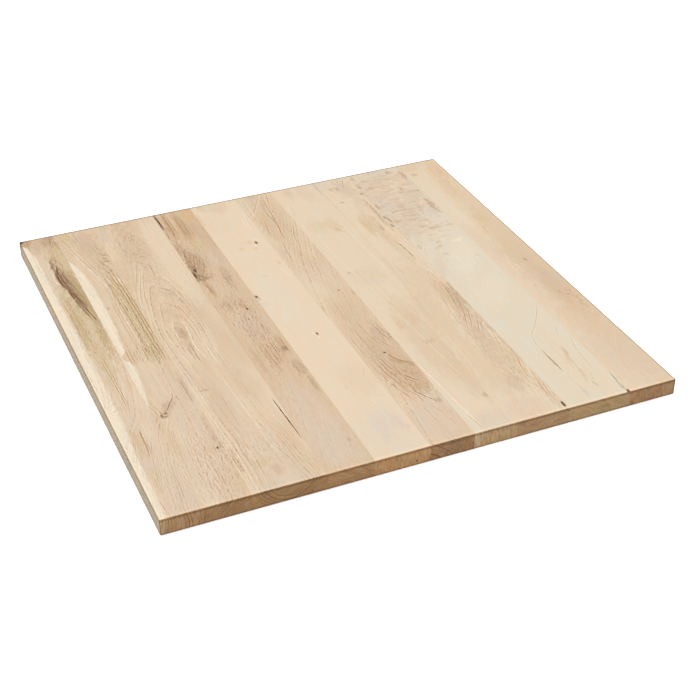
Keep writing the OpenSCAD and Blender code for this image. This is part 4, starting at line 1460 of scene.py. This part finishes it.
            # Painted highlight on either side of a dark line
            tone = w.tint(w.math("MULTIPLY", drawn["Rim Highlights"], share), tone, (1.17, 1.16, 1.14))
        tone = w.mix(w.math("MULTIPLY", drawn["Amount"], share), tone, colour(settings, vein.tone))
    tone = w.mix(1.0, tone, (*figure.tint, 1), "MULTIPLY")
    tone = w.mix(sawn_end, tone, end_grain(w, groups, figure, settings, tone, spot, rings["Rings"], seed))
    # Painted highlight and painted shade at the edges and on the faces that look sideways
    tone = painted_edge_light_and_shade(w, tone, where["Normal"], spot, low, high)

    # A hairline of glue at each seam that isn't an outside edge
    width = (high.x - low.x) / MM
    seams = [x for x, outside in ((0, PANEL_LOW.x), (width, PANEL_HIGH.x))
             if abs(low.x + x * MM - outside) > 1e-5]
    for seam in seams:
        off = w.math("ABSOLUTE", w.math("SUBTRACT", spot[0], seam))
        tone = w.tint(w.ramp(off, 0.45, 0.05, 0.0, 0.25), tone, (0.55, 0.42, 0.30))

    w.feed(shader.inputs["Base Color"], tone)
    gloss = w.math("MULTIPLY_ADD", grain["Fibre"], 0.16, settings.roughness - 0.08)
    gloss = w.math("SUBTRACT", gloss, w.math("MULTIPLY", grain["Rays"], 0.06))
    w.feed(shader.inputs["Roughness"], w.math("ADD", gloss, w.math("MULTIPLY", sawn_end, 0.12)))
    shader.inputs["Specular IOR Level"].default_value = 0.35
    height = w.math("ADD", grain["Pores"], w.math("MULTIPLY", rings["Rings"], 0.25))
    height = w.math("MULTIPLY_ADD", grain["Sunken And Shaded"], fleck, height)
    height = w.math("ADD", height, w.math("MULTIPLY", grain["Fibre"], -0.25))
    relief = w.add("ShaderNodeBump", invert=True)
    w.feed(relief.inputs["Strength"], 0.6)
    w.feed(relief.inputs["Distance"], settings.pore_depth)
    w.feed(relief.inputs["Height"], height)
    w.feed(shader.inputs["Normal"], relief.outputs[0])
    return material


def end_grain(w, groups, figure, settings, tone, spot, rings, seed):
    """The sawn end: a deeper tone, speckled with open vessels, and marked with lines that may lean."""
    leaning = w.math("MULTIPLY_ADD", spot[2], figure.end_slope, spot[0])
    flat = w.combine(leaning, w.math("ADD", spot[2], seed), seed)
    speckle = w.noise(w.vector("MULTIPLY", flat, (1.3, 1.1, 1.0)), 2.0, 0.7)
    smear = w.noise(w.vector("MULTIPLY", flat, (0.55, 0.07, 1.0)), 2.5, 0.65)
    cloud = w.noise(w.vector("MULTIPLY", flat, (0.10, 0.09, 1.0)), 2.0, 0.6)
    tone = w.mix(1.0, tone, colour(settings, "end_grain"), "MULTIPLY")
    tone = w.mix(1.0, tone, (*figure.end_tint, 1), "MULTIPLY")
    tone = w.mix(w.ramp(cloud, 0.3, 0.7), tone, w.mix(1.0, tone, (0.86, 0.82, 0.77, 1), "MULTIPLY"))
    tone = w.tint(w.ramp(smear, 0.50, 0.68), tone, (0.62, 0.52, 0.42))
    tone = w.tint(w.ramp(smear, 0.47, 0.30), tone, (1.20, 1.20, 1.18))
    tone = w.tint(w.ramp(speckle, 0.54, 0.72), tone, (0.62, 0.52, 0.42))
    tone = w.tint(w.math("MULTIPLY", rings, 0.35), tone, (0.72, 0.62, 0.52))
    face = w.combine(spot[0], spot[2], 0.0)
    return paint_patches(w, groups, face, smear, figure.end_patches, tone, settings)


def painted_edge_light_and_shade(w, tone, normal, spot, low, high):
    """Painted light at the edges: a painted highlight on the front and left arrises, painted shade along the back and
    the right arrises, in bands on the upright faces under the top and at the foot, and on the faces that look sideways.
    """
    turned = w.add("ShaderNodeSeparateXYZ", normal).outputs
    up = w.math("ABSOLUTE", turned[2])
    from_left = w.math("ADD", spot[0], (low.x - PANEL_LOW.x) / MM)
    from_front = w.math("MULTIPLY", spot[1], 0.6)
    near = w.math("MINIMUM", from_left, from_front)
    # Painted highlight on the rounded front and left arrises
    pale = w.math("MULTIPLY", w.ramp(near, 4.4, 2.4), w.ramp(up, 0.80, 0.97))
    tone = w.tint(pale, tone, (1.09, 1.08, 1.06))
    # Painted shade along the back and the right arrises
    from_back = w.math("SUBTRACT", (PANEL_HIGH.y - PANEL_LOW.y) / MM, spot[1])
    from_right = w.math("SUBTRACT", (PANEL_HIGH.x - low.x) / MM, spot[0])
    far = w.math("MINIMUM", w.math("MULTIPLY", from_back, 0.6), from_right)
    tone = w.tint(w.ramp(far, 4.2, 2.2, 0.0, 0.9), tone, (0.55, 0.53, 0.50))
    # Painted shade on the upright faces: a band just under the top arris and another towards the foot
    foot = (high.z - low.z) / MM
    shade = w.math("MULTIPLY", w.ramp(spot[2], 0.5, 1.6), w.ramp(spot[2], 5.0, 2.8))
    shade = w.math("MAXIMUM", shade, w.ramp(spot[2], foot - 4.0, foot - 2.0))
    tone = w.tint(w.math("MULTIPLY", shade, w.ramp(up, 0.75, 0.45)), tone, (0.62, 0.54, 0.45))
    # Painted shade on the faces that look left and right
    side = w.ramp(w.math("ABSOLUTE", turned[0]), 0.30, 0.66)
    return w.tint(side, tone, (0.62, 0.55, 0.43))


def shaded_split_wood(settings):
    """Torn brown fibres inside a check, a pit or a chip, darkened as painted shade of the hollow."""
    material, w, shader = new_material("shaded_split_wood")
    where = w.add("ShaderNodeTexCoord").outputs["Object"]
    fibre = w.noise(w.vector("MULTIPLY", where, (900, 60, 500)), 3.0, 0.6)
    # Very dark browns: partly the torn fibres' own brown, partly painted shade of the hollow
    tone = w.mix(w.ramp(fibre, 0.35, 0.65), (0.07, 0.036, 0.018, 1), (0.24, 0.135, 0.07, 1))
    w.feed(shader.inputs["Base Color"], tone)
    w.feed(shader.inputs["Roughness"], w.ramp(fibre, 0.3, 0.7, 0.9, 0.75))
    relief = w.add("ShaderNodeBump")
    w.feed(relief.inputs["Strength"], 0.5)
    w.feed(relief.inputs["Distance"], 0.3 * MM)
    w.feed(relief.inputs["Height"], fibre)
    w.feed(shader.inputs["Normal"], relief.outputs[0])
    return material


def floor_paint(settings):
    """Pale matt floor with a trace of unevenness."""
    material, w, shader = new_material("floor_paint")
    where = w.add("ShaderNodeTexCoord").outputs["Object"]
    cloud = w.noise(where, 2.0)
    tone = (*settings.floor_tone, 1)
    w.feed(shader.inputs["Base Color"], w.mix(cloud, tone, tuple(0.985 * part for part in settings.floor_tone) + (1,)))
    shader.inputs["Roughness"].default_value = 0.9
    shader.inputs["Specular IOR Level"].default_value = 0.1
    shader.inputs["Emission Color"].default_value = (1, 1, 1, 1)
    shader.inputs["Emission Strength"].default_value = settings.floor_glow
    return material


class TABLETOP_OT_staves(bpy.types.Operator):
    """Models the ten staves of the glued-up panel, with its outside edges eased"""
    bl_idname = "table_top.add_staves"
    bl_label = "Add Staves"

    def execute(self, context):
        panel = context.scene.table_top_panel
        for node in STAVES:
            low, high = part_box(node)
            deselect_all()
            bpy.ops.mesh.primitive_cube_add(size=1, location=(low + high) / 2, scale=high - low)
            stave = newest("dressed_" + node)
            settle(stave)
            select_edges(stave, on_outline)
            bpy.ops.mesh.bevel(
                offset=panel.arris, segments=panel.arris_steps, profile=0.5, affect="EDGES", clamp_overlap=False)
            bpy.ops.object.mode_set(mode="OBJECT")
            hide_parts(node)
            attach(stave, BODY)
        return {"FINISHED"}


class TABLETOP_OT_openings(bpy.types.Operator):
    """Cuts the checks, insect pinholes, knot pits and chipped seam ends out of the staves"""
    bl_idname = "table_top.cut_openings"
    bl_label = "Cut Openings"

    def execute(self, context):
        panel = context.scene.table_top_panel
        # The walls of every check, pit and chip get the dark split wood, partly painted shade of the hollow
        inside = shaded_split_wood(context.scene.table_top_timber)
        slivers = [
            ("stave_3", 106.0, 141, 1.5, 110, panel.check_depth / MM, 1.8),
            ("stave_9", 38.8, 112, 0.7, 58, 2.0, 0.8),
            ("stave_1", 33.0, 637, 1.3, 56, 2.5, 6.0),
            ("stave_1", 39.5, 585, 1.1, 46, 2.0, 3.0),
            ("stave_4", 3.6, 768, 0.9, 30, 2.0, 3.5),
        ]
        pits = [
            ("stave_5", 65.0, 632, 3.6, 7.4, 5),
            ("stave_5", 50.6, 326.6, 2.8, 5.8, 5),
            ("stave_5", 2.4, 466, 3.6, 6.4, 4),
            ("stave_6", 39.2, 236.2, 3.2, 3.4, 2),
            ("stave_2", 61.0, 114.8, 1.7, 3.8, 3),
            ("stave_6", 46.6, 431.3, 2.1, 2.4, 2.5),
            ("stave_4", 2.4, 570, 2.4, 9.0, 1.5),
            ("stave_4", 8.6, 583, 1.8, 3.4, 1.2),
        ]
        chips = [
            ("stave_8", 81.6, 12.5, 4.6, 14, 1.6, 1.0),
            ("stave_9", 101.0, 3.0, 5.0, 8, 1.6, 2.0),
        ]
        cuts = [
            *((node, add_sliver, across, along, width * MM, length * MM, depth * MM, lean)
              for node, across, along, width, length, depth, lean in slivers),
            *((node, add_borehole, across, along, width * MM, length * MM, depth * MM)
              for node, across, along, width, length, depth in pits),
            *((node, add_scoop, across, along, width * MM, length * MM, depth * MM, seed)
              for node, across, along, width, length, depth, seed in chips),
        ]
        for node, add_cutter, *sizes in cuts:
            cutter = add_cutter(node, *sizes)
            cutter.data.materials.append(inside)
            cut_out(bpy.data.objects["dressed_" + node], cutter)
        for node in STAVES:
            smooth_arrises(bpy.data.objects["dressed_" + node])
        return {"FINISHED"}


class TABLETOP_OT_timber(bpy.types.Operator):
    """Gives each stave its own oak"""
    bl_idname = "table_top.apply_timber"
    bl_label = "Apply Timber"

    def execute(self, context):
        settings = context.scene.table_top_timber
        groups = {
            "rings": growth_ring_group(), "grain": grain_group(), "patch": patch_group(),
            "vein": vein_group(), "swell": swell_group(),
        }
        for node in STAVES:
            bpy.data.objects["dressed_" + node].data.materials.append(oak(node, FIGURES[node], groups, settings))
        return {"FINISHED"}


class TABLETOP_OT_studio(bpy.types.Operator):
    """Lays the pale floor and sets the soft light and the camera"""
    bl_idname = "table_top.set_studio"
    bl_label = "Set Studio"

    def execute(self, context):
        studio = context.scene.table_top_studio
        deselect_all()
        bpy.ops.mesh.primitive_plane_add(
            size=studio.floor_size, location=(0, 0, PANEL_LOW.z - studio.floor_gap))
        floor = newest("floor")
        floor.data.materials.append(floor_paint(studio))
        self.light(context.scene, studio)
        bpy.ops.object.camera_add(location=studio.camera_place)
        camera = newest("camera")
        camera.rotation_euler = studio.camera_turn
        camera.data.shift_x = studio.camera_shift
        camera.data.lens = studio.lens
        camera.data.sensor_width = 36
        context.scene.camera = camera
        context.scene.view_settings.view_transform = "Standard"
        context.scene.view_settings.look = "None"
        return {"FINISHED"}

    def light(self, scene, studio):
        """A soft dome, bright overhead and dim at the sides. The camera sees it plain white."""
        world = bpy.data.worlds.new("soft_dome")
        scene.world = world
        world.use_nodes = True
        world.node_tree.nodes.clear()
        w = Wiring(world.node_tree)
        up = w.add("ShaderNodeSeparateXYZ", w.add("ShaderNodeTexCoord").outputs["Generated"]).outputs[2]
        fall = w.math("POWER", w.math("MAXIMUM", up, 0.0), studio.spread)
        strength = w.math("MULTIPLY_ADD", fall, studio.zenith, studio.horizon)
        seen = w.add("ShaderNodeLightPath").outputs["Is Camera Ray"]
        mixed = w.add("ShaderNodeMix", seen, data_type="FLOAT")
        w.feed(mixed.inputs[2], strength)
        w.feed(mixed.inputs[3], 1.0)
        background = w.add("ShaderNodeBackground", (1, 1, 1, 1), mixed.outputs[0])
        w.feed(w.add("ShaderNodeOutputWorld").inputs["Surface"], background.outputs[0])


class TABLETOP_PT_panel(bpy.types.Panel):
    """Sizes, tones and the steps that build the table top"""
    bl_idname = "TABLETOP_PT_panel"
    bl_label = "Oak Table Top"
    bl_space_type = "VIEW_3D"
    bl_region_type = "UI"
    bl_category = "Table Top"

    def draw(self, context):
        layout = self.layout
        for name in SETTINGS:
            box = layout.box()
            settings = getattr(context.scene, name)
            for prop in settings.bl_rna.properties:
                if prop.identifier not in {"rna_type", "name"}:
                    box.prop(settings, prop.identifier)
        for step in STEPS:
            layout.operator(step.bl_idname)


SETTINGS = {
    "table_top_panel": TABLETOP_PG_panel,
    "table_top_timber": TABLETOP_PG_timber,
    "table_top_studio": TABLETOP_PG_studio,
}
STEPS = [TABLETOP_OT_staves, TABLETOP_OT_timber, TABLETOP_OT_openings, TABLETOP_OT_studio]


def register():
    for cls in [*SETTINGS.values(), *STEPS, TABLETOP_PT_panel]:
        bpy.utils.register_class(cls)
    for name, group in SETTINGS.items():
        setattr(bpy.types.Scene, name, bpy.props.PointerProperty(type=group))


def unregister():
    for name in SETTINGS:
        delattr(bpy.types.Scene, name)
    for cls in reversed([*SETTINGS.values(), *STEPS, TABLETOP_PT_panel]):
        bpy.utils.unregister_class(cls)


def main():
    register()
    bpy.ops.table_top.add_staves()
    bpy.ops.table_top.apply_timber()
    bpy.ops.table_top.cut_openings()
    bpy.ops.table_top.set_studio()


if __name__ == "__main__":
    main()
